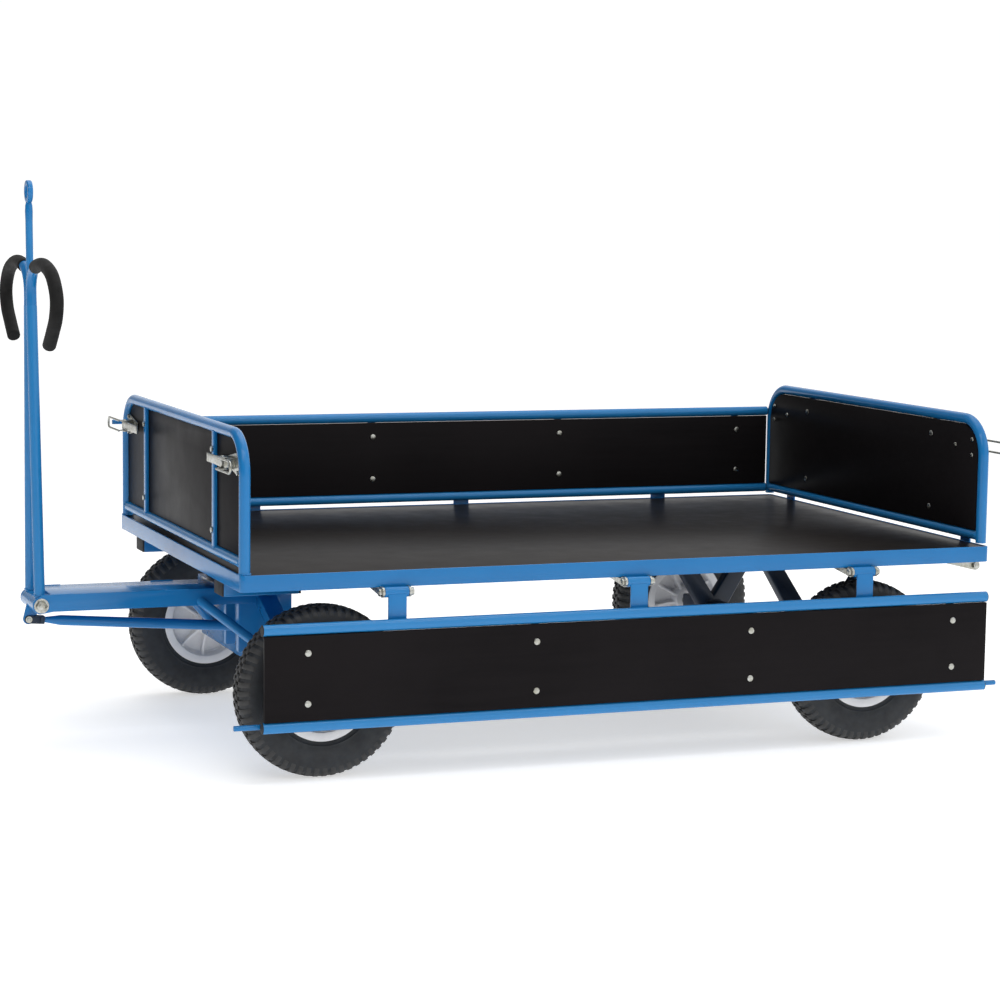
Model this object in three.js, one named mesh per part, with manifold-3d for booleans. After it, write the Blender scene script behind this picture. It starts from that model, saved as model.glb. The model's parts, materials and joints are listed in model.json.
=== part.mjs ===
// Four-wheel hand truck with turntable steering, a pull handle (drawbar), pneumatic tyres and
// folding side walls. Millimetres, +Z up. The drawbar points to -X, so the left side is -Y.
// The origin is on the floor under the middle of the whole truck, on its centre plane.
import * as THREE from 'three';
import { mergeVertices } from 'three/addons/utils/BufferGeometryUtils.js';
import Module from 'manifold-3d';

const wasm = await Module();
wasm.setup();

// Driving dimensions
const DECK = { length: 2000, width: 1250, top: 500, rim: 40, front: -816, corner: 14, inside: 3 };
const DECK_MID = DECK.front + DECK.length / 2;
const DECK_REAR = DECK.front + DECK.length;
const SIDE = DECK.width / 2;
const PLY = 12;                       // film-faced plywood of the deck and the walls
const GAP = 0.375;                    // clearance between pieces that touch
const TUBE = 13.5;                    // radius of the wall and drawbar tubes
const FRONT_AXLE = DECK.front + 214;
const REAR_AXLE = DECK.front + 1665;
const WHEEL = { radius: 208, width: 94, bead: 112, track: 1100 };
const AXLE = { radius: 12.5, head: 18, nut: 51, end: 64 };    // nut faces beyond the wheel centre
const BEAM = { half: 470, size: 50 };
const HINGE = { radius: 13, bolt: 6, length: 60, strap: 46, outboard: 13.5, sheet: 5, play: 0.5 };
const SIDE_HINGE_Z = 450;
const REAR_HINGE_Z = 438;
const SIDE_HINGES = [-624, 0, 624];
const REAR_HINGES = [-500, 500];
const SIDE_RAILS = [74, 304];         // rail heights above the side hinge axis, wall closed
const SIDE_RAIL_SPAN = [DECK.front + 42, DECK.front + 1968];
const SIDE_BARS = [-859, -286, 286, 859].map((x) => DECK_MID + 8 + x);
const END_WALL = { inset: 15, post: 605, top: 824, bend: 95, bar: 355, rail: 525, rearFoot: 7 };
const BEND_STEPS = 5;
const LATCH = { height: 754, pivot: 512, outward: 27, reach: 142, pin: 4, lever: 21 };
const PIVOT = { x: DECK.front - 358, z: 364, bolt: 8 };
const ARM = { half: 82.5, bottom: 348, top: 391, plate: 6 };
const LUG_PIN = { x: -18, z: -44 };   // clevis pin, from the drawbar pivot
const LEAN = 0.5;                     // degrees that the parked drawbar leans forward

const DEG = Math.PI / 180;

// Shape helpers
function box(x0, x1, y0, y1, z0, z1) {
  const solid = new THREE.BoxGeometry(Math.abs(x1 - x0), Math.abs(y1 - y0), Math.abs(z1 - z0));
  return solid.translate((x0 + x1) / 2, (y0 + y1) / 2, (z0 + z1) / 2);
}

// A path through given points, sampled at those points only
class PointPath extends THREE.Curve {
  constructor(points) {
    super();
    this.points = points;
  }
  getPointAt(u) {
    const last = this.points.length - 1;
    const i = Math.min(Math.round(u * last), last);
    return this.points[i].clone();
  }
  getTangentAt(u) {
    const last = this.points.length - 1;
    const i = Math.min(Math.round(u * last), last);
    const before = this.points[Math.max(i - 1, 0)];
    const after = this.points[Math.min(i + 1, last)];
    return after.clone().sub(before).normalize();
  }
}

function disc(radius, sides) {
  const shape = new THREE.Shape();
  for (let i = 0; i < sides; i += 1) {
    const a = (i / sides) * 2 * Math.PI;
    const draw = i === 0 ? 'moveTo' : 'lineTo';
    shape[draw](radius * Math.cos(a), radius * Math.sin(a));
  }
  return shape;
}

function tube(points, radius, sides = 10) {
  const path = new PointPath(points.map((p) => (p.isVector3 ? p : new THREE.Vector3(...p))));
  return new THREE.ExtrudeGeometry(disc(radius, sides), {
    steps: path.points.length - 1,
    extrudePath: path,
  });
}

// Solid of revolution about the Y axis, from [radius, y] pairs
function turned(profile, segments = 16) {
  return new THREE.LatheGeometry(profile.map(([r, y]) => new THREE.Vector2(r, y)), segments);
}

function rod(radius, from, to, segments = 12) {
  const [y0, y1] = [Math.min(from, to), Math.max(from, to)];
  return turned([[0, y0], [radius, y0], [radius, y1], [0, y1]], segments);
}

function alongX(geometry) {
  return geometry.rotateZ(-Math.PI / 2);
}

function alongZ(geometry) {
  return geometry.rotateX(Math.PI / 2);
}

// Flat plate from [x, z] points, between y0 and y1
function plateXZ(points, y0, y1) {
  const shape = new THREE.Shape(points.map(([x, z]) => new THREE.Vector2(x, z)));
  const plate = new THREE.ExtrudeGeometry(shape, { depth: Math.abs(y1 - y0), bevelEnabled: false });
  return plate.rotateX(Math.PI / 2).translate(0, Math.max(y0, y1), 0);
}

// Flat plate from [y, z] points, between x0 and x1
function plateYZ(points, x0, x1) {
  const shape = new THREE.Shape(points.map(([y, z]) => new THREE.Vector2(y, z)));
  const plate = new THREE.ExtrudeGeometry(shape, { depth: Math.abs(x1 - x0), bevelEnabled: false });
  return plate.rotateX(Math.PI / 2).rotateZ(Math.PI / 2).translate(Math.min(x0, x1), 0, 0);
}

function arc(cx, cy, radius, from, to, steps) {
  return Array.from({ length: steps + 1 }, (_, i) => {
    const a = (from + ((to - from) * i) / steps) * DEG;
    return [cx + radius * Math.cos(a), cy + radius * Math.sin(a)];
  });
}

// Booleans
function solidOf(geometry) {
  const bare = geometry.clone();
  bare.deleteAttribute('normal');
  bare.deleteAttribute('uv');
  const merged = mergeVertices(bare, 1e-3);
  return new wasm.Manifold(new wasm.Mesh({
    numProp: 3,
    vertProperties: Float32Array.from(merged.attributes.position.array),
    triVerts: Uint32Array.from(merged.index.array),
  }));
}

function geometryOf(solid) {
  const mesh = solid.getMesh();
  const geometry = new THREE.BufferGeometry();
  geometry.setAttribute('position', new THREE.BufferAttribute(mesh.vertProperties, 3));
  geometry.setIndex(new THREE.BufferAttribute(mesh.triVerts, 1));
  geometry.computeVertexNormals();
  return geometry;
}

function join(...parts) {
  return geometryOf(parts.map(solidOf).reduce((all, next) => all.add(next)));
}

function cut(part, ...tools) {
  return geometryOf(tools.map(solidOf).reduce((rest, tool) => rest.subtract(tool), solidOf(part)));
}

// Finishes
function finish(color, roughness, metalness = 0) {
  return new THREE.MeshStandardMaterial({ color, roughness, metalness });
}
const blueSteel = () => finish(0x3880bc, 0.35, 0.1);
const darkSteel = () => finish(0x1d2733, 0.5, 0.2);
const zinc = () => finish(0xb9b7ab, 0.35, 0.9);
const plywood = () => finish(0x2c2826, 0.45);
const wallBoard = () => finish(0x17181c, 0.4);
const rubber = () => finish(0x1c1c1d, 0.85);
const foam = () => finish(0x151515, 0.9);
const rimMetal = () => finish(0xc9cbcd, 0.45, 0.3);

function piece(name, geometry, material) {
  const mesh = new THREE.Mesh(geometry, material);
  mesh.name = name;
  return mesh;
}

function group(x, y, z, ...children) {
  const node = new THREE.Group();
  node.position.set(x, y, z);
  if (children.length) node.add(...children);
  return node;
}

// Deck: a welded rim on cross members, with a plywood board let into it
const LEDGE = { inset: 3, width: 34, top: DECK.top - PLY - 2 - GAP };
const RIM_WALL = 5;
const CORNER_STEPS = 3;
const CROSS_MEMBERS = [130, 298, 960, 1500, 1830];    // centre lines, from the deck front
const MEMBER = { half: 30, inset: 2, shy: 1 };        // shy of the ledge's faces, above and below
const RUNNER = { inner: 373, outer: 449, low: 425, from: 4, to: 196, shy: 6 };
const BOLSTER = { halfLength: 110, halfWidth: 220, shy: 8 };

// Outline at an inset from the rim, with corner arcs that share the rim's corner centres
function roundedRectangle(inset, Kind) {
  const radius = Math.max(DECK.corner - inset, DECK.inside);
  const x0 = DECK.front + inset;
  const x1 = DECK_REAR - inset;
  const y1 = SIDE - inset;
  const corners = [
    ...arc(x1 - radius, y1 - radius, radius, 0, 90, CORNER_STEPS),
    ...arc(x0 + radius, y1 - radius, radius, 90, 180, CORNER_STEPS),
    ...arc(x0 + radius, -y1 + radius, radius, 180, 270, CORNER_STEPS),
    ...arc(x1 - radius, -y1 + radius, radius, 270, 360, CORNER_STEPS),
  ];
  return new Kind(corners.map(([x, y]) => new THREE.Vector2(x, y)));
}

function ring(inset, width, z0, z1) {
  const shape = roundedRectangle(inset, THREE.Shape);
  shape.holes.push(roundedRectangle(inset + width, THREE.Path));
  const solid = new THREE.ExtrudeGeometry(shape, { depth: z1 - z0, bevelEnabled: false });
  return solid.translate(0, 0, z0);
}

function deckFrame() {
  const bottom = DECK.top - DECK.rim;
  const { inner, outer, low, from, to } = RUNNER;
  const { half, inset, shy } = MEMBER;
  const members = CROSS_MEMBERS.map((x) => box(
    DECK.front + x - half, DECK.front + x + half, -SIDE + inset, SIDE - inset,
    bottom + shy, LEDGE.top - shy,
  ));
  const runners = [-1, 1].map((s) => box(
    DECK.front + from, DECK.front + to, s * inner, s * outer, low, LEDGE.top - RUNNER.shy,
  ));
  const { halfLength, halfWidth } = BOLSTER;
  const bolster = box(
    FRONT_AXLE - halfLength, FRONT_AXLE + halfLength, -halfWidth, halfWidth,
    low, LEDGE.top - BOLSTER.shy,
  );
  return join(
    ring(0, RIM_WALL, bottom, DECK.top), ring(LEDGE.inset, LEDGE.width, bottom, LEDGE.top), bolster,
    ...members, ...runners,
  );
}

function deckBoard() {
  const shape = roundedRectangle(RIM_WALL + GAP, THREE.Shape);
  const board = new THREE.ExtrudeGeometry(shape, { depth: PLY, bevelEnabled: false });
  return board.translate(0, 0, LEDGE.top + GAP);
}

// Turntable rings between the deck and the steered front axle
const TURNTABLE = { inner: 92, outer: 130, low: 400, split: 412, high: RUNNER.low, lip: 4 };

function turntableRing(z0, z1) {
  const { inner, outer, lip } = TURNTABLE;
  const section = [[inner, z0], [outer, z0], [outer - lip, z1], [inner + lip, z1], [inner, z0]];
  return alongZ(turned(section, 24));
}

function upperRing() {
  return turntableRing(TURNTABLE.split + GAP, TURNTABLE.high - GAP);
}

function lowerRing() {
  return turntableRing(TURNTABLE.low, TURNTABLE.split);
}

// Rear axle: a beam on two V-shaped hangers
const HANGER = { y: 330, half: 18, spread: 165, foot: 26, arm: 25, low: -20, crotch: 40 };

function hangerV(y) {
  const top = DECK.top - DECK.rim - GAP - WHEEL.radius;
  const { half, spread, foot, arm, low, crotch } = HANGER;
  return plateXZ([
    [-foot, low], [foot, low], [spread + arm, top], [spread - arm, top], [0, crotch],
    [-spread + arm, top], [-spread - arm, top],
  ], y - half, y + half);
}

function axleBore() {
  const end = WHEEL.track / 2;
  return rod(AXLE.radius + GAP, -end, end, 16);
}

function axleBeam() {
  const h = BEAM.size / 2;
  return box(-h, h, -BEAM.half, BEAM.half, -h, h);
}

function rearAxleFrame() {
  return cut(join(axleBeam(), hangerV(-HANGER.y), hangerV(HANGER.y)), axleBore());
}

// Axle shaft with its collars and end nuts
function axleShaft() {
  const end = WHEEL.track / 2 + AXLE.end;
  const nut = WHEEL.track / 2 + AXLE.nut;
  const { radius, head } = AXLE;
  return turned([
    [0, -end], [head, -end], [head, -nut], [radius, -nut],
    [radius, nut], [head, nut], [head, end], [0, end],
  ], 16);
}

// Wheels
function tyre() {
  const { radius, width, bead } = WHEEL;
  const half = width / 2;
  const section = [
    [bead, -34], [bead + 18, -half + 6], [bead + 46, -half], [radius - 18, -half + 2],
    [radius, -half + 24], [radius, half - 24], [radius - 18, half - 2], [bead + 46, half],
    [bead + 18, half - 6], [bead, 34],
  ];
  return turned([...section, section[0]], 36);
}

function rim() {
  const bore = AXLE.radius + GAP;
  const seat = WHEEL.bead - 3 * GAP;
  const section = [
    [bore, -50], [31, -50], [34, -12], [92, -9], [100, -40], [118, -42], [118, -37], [seat, -34],
    [seat, 34], [118, 37], [118, 42], [100, 40], [92, 9], [34, 12], [31, 50], [bore, 50],
  ];
  return turned([...section, section[0]], 20);
}

function wheel(name, side) {
  return group(0, (side * WHEEL.track) / 2, 0,
    piece(`tyre_${name}`, tyre(), rubber()),
    piece(`rim_${name}`, rim(), rimMetal()));
}

const CHEEK = { half: 70, inner: 45, lift: 15, shy: 2 };
const ARM_NOSE = 21.5;                // radius of the arm's round front end
const ARM_BACK = 40;                  // the arm's side plates end here, behind the steering axis
const HEAD = { halfLength: 125, halfWidth: 120, sheet: 6 };
const LID = { front: 25, back: 60 };
const BRACE = { half: 24, from: 60, high: 4, low: 44, to: 400, toe: 452, lift: 12 };
const STRUT = { front: -170, frontY: 74, back: -6, backY: 400, radius: 12, lift: 12, drop: 8 };

// Steered front bogie: axle beam, cheeks, head plate, braces and the drawbar arm.
// Its own origin is on the steering axis, on the floor.
function bogieFrame() {
  const z = WHEEL.radius;
  const front = PIVOT.x - FRONT_AXLE;
  const cheek = [];
  const arms = [];
  const braces = [];
  for (const s of [-1, 1]) {
    const inner = s * (ARM.half - ARM.plate);
    cheek.push(box(
      -CHEEK.half, CHEEK.half, s * CHEEK.inner, s * (ARM.half - CHEEK.shy),
      z + CHEEK.lift, ARM.top - CHEEK.shy,
    ));
    arms.push(box(front, ARM_BACK, inner, s * ARM.half, ARM.bottom, ARM.top));
    arms.push(rod(ARM_NOSE, inner, s * ARM.half, 16).translate(front, 0, PIVOT.z));
    braces.push(plateYZ([
      [s * BRACE.from, ARM.top - BRACE.high], [s * BRACE.from, ARM.top - BRACE.low],
      [s * BRACE.to, z + BRACE.lift], [s * BRACE.toe, z + BRACE.lift],
    ], -BRACE.half, BRACE.half));
    braces.push(tube([
      [STRUT.front, s * STRUT.frontY, ARM.bottom + STRUT.lift],
      [STRUT.back, s * STRUT.backY, z + STRUT.drop],
    ], STRUT.radius));
  }
  const { halfLength, halfWidth, sheet } = HEAD;
  const head = box(
    -halfLength, halfLength, -halfWidth, halfWidth, ARM.top - sheet, TURNTABLE.low - GAP,
  );
  const lid = box(
    front + LID.front, LID.back, -ARM.half, ARM.half, ARM.top - ARM.plate, ARM.top,
  );
  const solid = join(axleBeam().translate(0, 0, z), head, lid, ...cheek, ...arms, ...braces);
  return cut(solid, axleBore().translate(0, 0, z), pivotBore().translate(front, 0, PIVOT.z));
}

function pivotBore() {
  const past = 2 * ARM.half;
  return rod(PIVOT.bolt + GAP, -past, past, 16);
}

function pivotBolt() {
  const face = ARM.half + GAP;
  const section = [[PIVOT.bolt, 0], [18.5, 0], [18.5, 4], [12, 4], [12, 15], [0, 15]];
  const right = section.map(([r, y]) => [r, y + face]);
  const left = section.map(([r, y]) => [r, -y - face]).reverse();
  return turned([...left, ...right], 12);
}

// Rubber block that the parked drawbar leans against
const STOP = { x: [15.5, 24], y: [48, 72], z: [27.5, 38] };    // from the pivot

function drawbarStop() {
  return box(...STOP.x, ...STOP.y, ...STOP.z);
}

// Drawbar: two converging tubes that curl into the hand loops, a tow bar with an eye,
// the cross tube and the brake lug. Its own origin is on the pivot.
const HOOP = [
  [15, 735], [17, 790], [48, 823], [115, 839], [200, 838], [286, 812], [328, 764], [315, 721],
  [276, 686], [234, 654],
];
const HOOP_STEPS = 18;
const SLIM_TUBE = TUBE - 0.5;         // hand loops and lower rails
const GRIP = { from: 3, radius: 16.5, play: 0.6, cap: 8 };
const BAR_FOOT = { y: 60, z: 8 };
const BAR_NECK = { y: 15, z: 737 };
const CROSS_RADIUS = 21;
const TOW_BAR = { radius: 9, from: 745 };
const TOW_EYE = { height: 1015, radius: 28, hole: 15, thick: 13, overlap: 22 };
const GUSSET = { halfThick: 6, halfWidth: 16, from: 700, to: 800 };
const LUG = { reach: 13, half: 5, hole: 5, root: [18, -6] };

function hoopPoints(side) {
  const curve = new THREE.CatmullRomCurve3(
    HOOP.map(([y, z]) => new THREE.Vector3(0, side * y, z)), false, 'centripetal',
  );
  return curve.getSpacedPoints(HOOP_STEPS);
}

function brakeLug() {
  const { reach, half, root } = LUG;
  const toPin = Math.atan2(LUG_PIN.z, LUG_PIN.x) / DEG;
  const outline = [
    ...arc(LUG_PIN.x, LUG_PIN.z, reach, toPin - 90, toPin + 90, 6),
    root, root.map((v) => -v),
  ];
  const hole = rod(LUG.hole + GAP, -reach, reach, 12).translate(LUG_PIN.x, 0, LUG_PIN.z);
  return cut(plateXZ(outline, -half, half), hole);
}

function towEye() {
  const { height, radius, hole, thick } = TOW_EYE;
  const shape = disc(radius, 20);
  shape.holes.push(disc(hole, 16));
  const eye = new THREE.ExtrudeGeometry(shape, { depth: thick, bevelEnabled: false });
  return eye.rotateY(Math.PI / 2).translate(-thick / 2, 0, height);
}

function drawbarFrame() {
  const parts = [];
  for (const s of [-1, 1]) {
    parts.push(tube([[0, s * BAR_FOOT.y, BAR_FOOT.z], [0, s * BAR_NECK.y, BAR_NECK.z]], TUBE));
    parts.push(tube(hoopPoints(s), SLIM_TUBE));
  }
  const inner = ARM.half - ARM.plate - GAP;
  const { halfThick, halfWidth, from, to } = GUSSET;
  parts.push(rod(CROSS_RADIUS, -inner, inner, 16));
  parts.push(tube(
    [[0, 0, TOW_BAR.from], [0, 0, TOW_EYE.height - TOW_EYE.overlap]], TOW_BAR.radius,
  ));
  parts.push(box(-halfThick, halfThick, -halfWidth, halfWidth, from, to));
  parts.push(towEye(), brakeLug());
  return cut(join(...parts), pivotBore());
}

// Foam grip: a sleeve over the hand loop, closed at its lower end
function grip(side) {
  const points = hoopPoints(side);
  const end = points[HOOP_STEPS].clone();
  const along = end.clone().sub(points[HOOP_STEPS - 1]).normalize();
  const outer = [...points.slice(GRIP.from), end.clone().addScaledVector(along, GRIP.cap)];
  const bore = [...points.slice(GRIP.from - 1), end.clone().addScaledVector(along, GRIP.play)];
  return cut(tube(outer, GRIP.radius, 12), tube(bore, TUBE + GRIP.play));
}

// Brake pull rod and the clevis on its front end. Their own origin is on the clevis pin.
const PULL_ROD = { slope: -4.45, length: 590, radius: 13, tip: 7, taper: 40 };
const CLEVIS = { half: 11, height: 10, forkEnd: 30, blockStart: 25, end: 40, pin: 15 };

function clevis() {
  const { half, height, forkEnd, blockStart, end, pin } = CLEVIS;
  const fork = [-1, 1].map((s) => box(-half, forkEnd, s * (LUG.half + GAP), s * half, -height, height));
  const block = box(blockStart, end, -half, half, -height, height);
  return join(...fork, block, rod(LUG.hole, -pin, pin, 12));
}

function pullRod() {
  const x0 = CLEVIS.end + GAP;
  const { radius, length, tip, taper } = PULL_ROD;
  return alongX(turned([[0, x0], [tip, x0], [radius, x0 + taper], [radius, length], [0, length]], 14));
}

// Hinges: the strap and barrel ride with the wall, the bracket and bolt stay on the deck.
// In their own frame the axis is X, outboard is +Y and the wall stands up +Z.
function hingeStrap(height) {
  const face = -HINGE.outboard + 0.3;
  const half = HINGE.strap / 2;
  const outer = face + HINGE.sheet;
  const weld = 8;
  const strap = box(-half, half, face, outer, 0, height + weld);
  const pad = box(-half, half, face - weld, outer, height - weld, height + weld);
  return join(strap, pad, alongX(rod(HINGE.radius, -HINGE.length / 2, HINGE.length / 2, 14)));
}

function hingeBore() {
  return alongX(rod(HINGE.bolt + GAP, -HINGE.length, HINGE.length, 12));
}

const BRACKET = { lug: 6, length: 92, toe: 9, sheet: 4 };

function hingeBracket(underRim) {
  const { outboard, radius, play } = HINGE;
  const inner = HINGE.length / 2 + play;
  const outer = inner + BRACKET.lug;
  const reach = -outboard - BRACKET.length;
  const outline = [
    ...arc(0, 0, radius, -110, 90, 6),
    [-outboard + play, radius], [-outboard + play, underRim], [reach, underRim],
    [reach, underRim - BRACKET.toe],
  ];
  const lugs = [-1, 1].map((s) => plateYZ(outline, s * inner, s * outer));
  const { sheet } = BRACKET;
  const base = box(-outer, outer, reach, -outboard - sheet, underRim - sheet, underRim);
  return cut(join(...lugs, base), hingeBore());
}

const BOLT_HEAD = { radius: 10, height: 8 };

function hingeBolt() {
  const face = HINGE.length / 2 + HINGE.play + BRACKET.lug + GAP;
  const end = face + BOLT_HEAD.height;
  const shank = HINGE.bolt;
  const head = BOLT_HEAD.radius;
  return alongX(turned([
    [0, -end], [head, -end], [head, -face], [shank, -face],
    [shank, face], [head, face], [head, end], [0, end],
  ], 12));
}

// Side wall, in its hinge frame: two rails, four bars, three straps and the locking pins
const RAIL_Y = -HINGE.outboard * 2;
const WALL_BAR = { half: 10, inner: 1.3, outer: 11, overlap: 6 };
const BOARD = { inner: -11, outer: 0.9, endGap: 2 };
const PIN = { outboard: 18.5, radius: 6.5, front: [-64, 30], rear: [-25, 47] };

function sideWallFrame(side) {
  const out = (v) => side * v;
  const [x0, x1] = SIDE_RAIL_SPAN.map((x) => x - DECK_MID);
  const [low, high] = SIDE_RAILS;
  const { half, inner, outer, overlap } = WALL_BAR;
  const pinY = RAIL_Y + PIN.outboard;
  const rails = SIDE_RAILS.map((z) => tube([[x0, out(RAIL_Y), z], [x1, out(RAIL_Y), z]], TUBE, 12));
  const bars = SIDE_BARS.map((x) => box(
    x - DECK_MID - half, x - DECK_MID + half, out(RAIL_Y + inner), out(RAIL_Y + outer),
    low + overlap, high - overlap,
  ));
  const pins = [PIN.front.map((v) => x0 + v), PIN.rear.map((v) => x1 + v)].map(
    ([a, b]) => tube([[a, out(pinY), high], [b, out(pinY), high]], PIN.radius),
  );
  const straps = SIDE_HINGES.map((x) => placed(hingeStrap(low), side).translate(x, 0, 0));
  const bores = SIDE_HINGES.map((x) => hingeBore().translate(x, 0, 0));
  return cut(join(...rails, ...bars, ...pins, ...straps), ...bores);
}

// Turns a hinge-frame piece so that its outboard side faces +Y (side 1) or -Y (side -1)
function placed(geometry, side) {
  return side > 0 ? geometry : geometry.rotateZ(Math.PI);
}

function sideWallPanel(side) {
  const [x0, x1] = SIDE_RAIL_SPAN.map((x) => x - DECK_MID);
  const [low, high] = SIDE_RAILS;
  const gap = TUBE + GAP;
  const { inner, outer, endGap } = BOARD;
  return box(
    x0 + endGap, x1 - endGap, side * (RAIL_Y + inner), side * (RAIL_Y + outer),
    low + gap, high - gap,
  );
}

function sideWall(name, side, turn) {
  const wall = group(DECK_MID, side * (SIDE + HINGE.outboard), SIDE_HINGE_Z,
    piece(`side_wall_frame_${name}`, sideWallFrame(side), blueSteel()),
    piece(`side_wall_panel_${name}`, sideWallPanel(side), wallBoard()));
  wall.rotation.x = turn * DEG;
  return wall;
}

function sideHinges(name, side) {
  return SIDE_HINGES.map((x, i) => {
    const bracket = placed(hingeBracket(DECK.top - DECK.rim - SIDE_HINGE_Z - GAP), side);
    return group(DECK_MID + x, side * (SIDE + HINGE.outboard), SIDE_HINGE_Z,
      piece(`hinge_bracket_${name}_${i + 1}`, bracket, zinc()),
      piece(`hinge_bolt_${name}_${i + 1}`, hingeBolt(), zinc()));
  });
}

// End walls, in the frame of the deck centre plane: x is the outward distance from the post line
function endWallFrame(outward, foot) {
  const { post, top, bend, bar, rail } = END_WALL;
  const corner = (s, from) => arc(s * (post - bend), top - bend, bend, from, from + 90, BEND_STEPS);
  const line = [[post, foot], ...corner(1, 0), ...corner(-1, 90), [-post, foot]];
  const hoop = tube(line.map(([y, z]) => [0, y, z]), TUBE, 12);
  const { half, inner, outer, overlap } = WALL_BAR;
  const lower = tube([[0, -post, rail], [0, post, rail]], SLIM_TUBE);
  const bars = [-bar, bar].map((y) => box(
    outward * inner, outward * outer, y - half, y + half, rail + overlap, top - overlap,
  ));
  return join(hoop, lower, ...bars);
}

function endWallPanel(outward) {
  const { post, top, bend, rail } = END_WALL;
  const gap = TUBE + GAP;
  const y = post - gap;
  const r = bend - gap;
  const outline = [
    [y, rail + gap], ...arc(y - r, top - gap - r, r, 0, 90, BEND_STEPS),
    ...arc(-y + r, top - gap - r, r, 90, 180, BEND_STEPS), [-y, rail + gap],
  ];
  const [x0, x1] = [BOARD.inner, BOARD.outer].map((x) => outward * x).sort((a, b) => a - b);
  return plateYZ(outline, x0, x1);
}

// Wall latch: base plate with lugs, a bail around the line of the locking pin, and a lever.
// x is outward from the wall board, y runs outboard along the wall, the origin is the lever pivot.
const LATCH_LUG = { sheet: 4, front: 13.4, from: -14, to: 18, inner: 11.6, outer: 16 };
const BAIL = { outward: 17, tip: 131, half: 14, radius: 3, reach: 15 };

function latchBase(outward, side) {
  const back = outward * (-LATCH.outward + WALL_BAR.inner);
  const outline = [
    [-42, -10], [-42, 10], [44, 27], [56, 27], [61, 20], [61, -20], [56, -27], [44, -27],
  ];
  const { sheet, front, from, to, inner, outer } = LATCH_LUG;
  const plate = plateYZ(outline.map(([y, z]) => [side * y, z]), back, back + outward * sheet);
  const lugs = [-1, 1].map((s) => box(
    back, outward * front, side * from, side * to, s * inner, s * outer,
  ));
  return join(plate, ...lugs, alongZ(rod(LATCH.pin, -BAIL.reach, BAIL.reach, 10)));
}

function latchBail(outward, side) {
  const x = outward * BAIL.outward;
  const { tip, half } = BAIL;
  const bend = arc(tip - half, 0, half, 90, -90, 6).map(([y, z]) => [x, side * y, z]);
  return tube([[x, 0, half], ...bend, [x, 0, -half]], BAIL.radius, 8);
}

function latchLever(outward, side) {
  const blade = [[10, 7], [10, -7], [-LATCH.reach, -3], [-LATCH.reach, 5]];
  const height = LATCH.lever;
  const shape = new THREE.Shape(blade.map(([y, x]) => new THREE.Vector2(outward * x, side * y)));
  const lever = new THREE.ExtrudeGeometry(shape, { depth: height, bevelEnabled: false });
  const bore = alongZ(rod(LATCH.pin + GAP, -height, height, 12));
  return cut(lever.translate(0, 0, -height / 2), bore);
}

function latch(name, end, side) {
  const wallX = end < 0 ? DECK.front + END_WALL.inset : DECK_REAR - END_WALL.inset;
  return group(wallX + end * LATCH.outward, side * LATCH.pivot, LATCH.height,
    piece(`latch_base_${name}`, latchBase(end, side), zinc()),
    piece(`latch_bail_${name}`, latchBail(end, side), zinc()),
    piece(`latch_lever_${name}`, latchLever(end, side), zinc()));
}

// Rear wall: the end-wall frame with two hinge straps welded below its lower rail
function rearWallFrame() {
  const postX = DECK_REAR - END_WALL.inset;
  const axisX = DECK_REAR + HINGE.outboard;
  const frame = endWallFrame(1, DECK.top + END_WALL.rearFoot).translate(postX, 0, 0);
  const straps = REAR_HINGES.map((y) => hingeStrap(END_WALL.rail - REAR_HINGE_Z)
    .rotateZ(-Math.PI / 2).translate(axisX, y, REAR_HINGE_Z));
  const bores = REAR_HINGES.map((y) => hingeBore()
    .rotateZ(-Math.PI / 2).translate(axisX, y, REAR_HINGE_Z));
  return cut(join(frame, ...straps), ...bores);
}

function rearHinges() {
  return REAR_HINGES.map((y, i) => {
    const bracket = hingeBracket(DECK.top - DECK.rim - REAR_HINGE_Z - GAP);
    const hinge = group(DECK_REAR + HINGE.outboard, y, REAR_HINGE_Z,
      piece(`hinge_bracket_rear_${i + 1}`, bracket, zinc()),
      piece(`hinge_bolt_rear_${i + 1}`, hingeBolt(), zinc()));
    hinge.rotation.z = -90 * DEG;
    return hinge;
  });
}

function frontWall() {
  return group(DECK.front + END_WALL.inset, 0, 0,
    piece('front_wall_frame', endWallFrame(-1, DECK.top + GAP), blueSteel()),
    piece('front_wall_panel', endWallPanel(-1), wallBoard()));
}

function rearWall() {
  return group(0, 0, 0,
    piece('rear_wall_frame', rearWallFrame(), blueSteel()),
    piece('rear_wall_panel', endWallPanel(1).translate(DECK_REAR - END_WALL.inset, 0, 0), wallBoard()));
}

function drawbar() {
  const rodGroup = group(LUG_PIN.x, 0, LUG_PIN.z,
    piece('brake_clevis', clevis(), darkSteel()),
    piece('brake_pull_rod', pullRod(), blueSteel()));
  rodGroup.rotation.y = (-PULL_ROD.slope + LEAN) * DEG;
  const bar = group(PIVOT.x - FRONT_AXLE, 0, PIVOT.z,
    piece('drawbar_frame', drawbarFrame(), blueSteel()),
    piece('grip_left', grip(-1), foam()),
    piece('grip_right', grip(1), foam()),
    rodGroup);
  bar.rotation.y = -LEAN * DEG;
  return bar;
}

function bogie() {
  return group(FRONT_AXLE, 0, 0,
    piece('bogie_frame', bogieFrame(), blueSteel()),
    piece('turntable_ring_lower', lowerRing(), darkSteel()),
    group(0, 0, WHEEL.radius,
      piece('front_axle_shaft', axleShaft(), zinc()),
      wheel('front_left', -1),
      wheel('front_right', 1)),
    group(PIVOT.x - FRONT_AXLE, 0, PIVOT.z,
      piece('drawbar_pivot_bolt', pivotBolt(), zinc()),
      piece('drawbar_stop', drawbarStop(), rubber())),
    drawbar());
}

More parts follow.
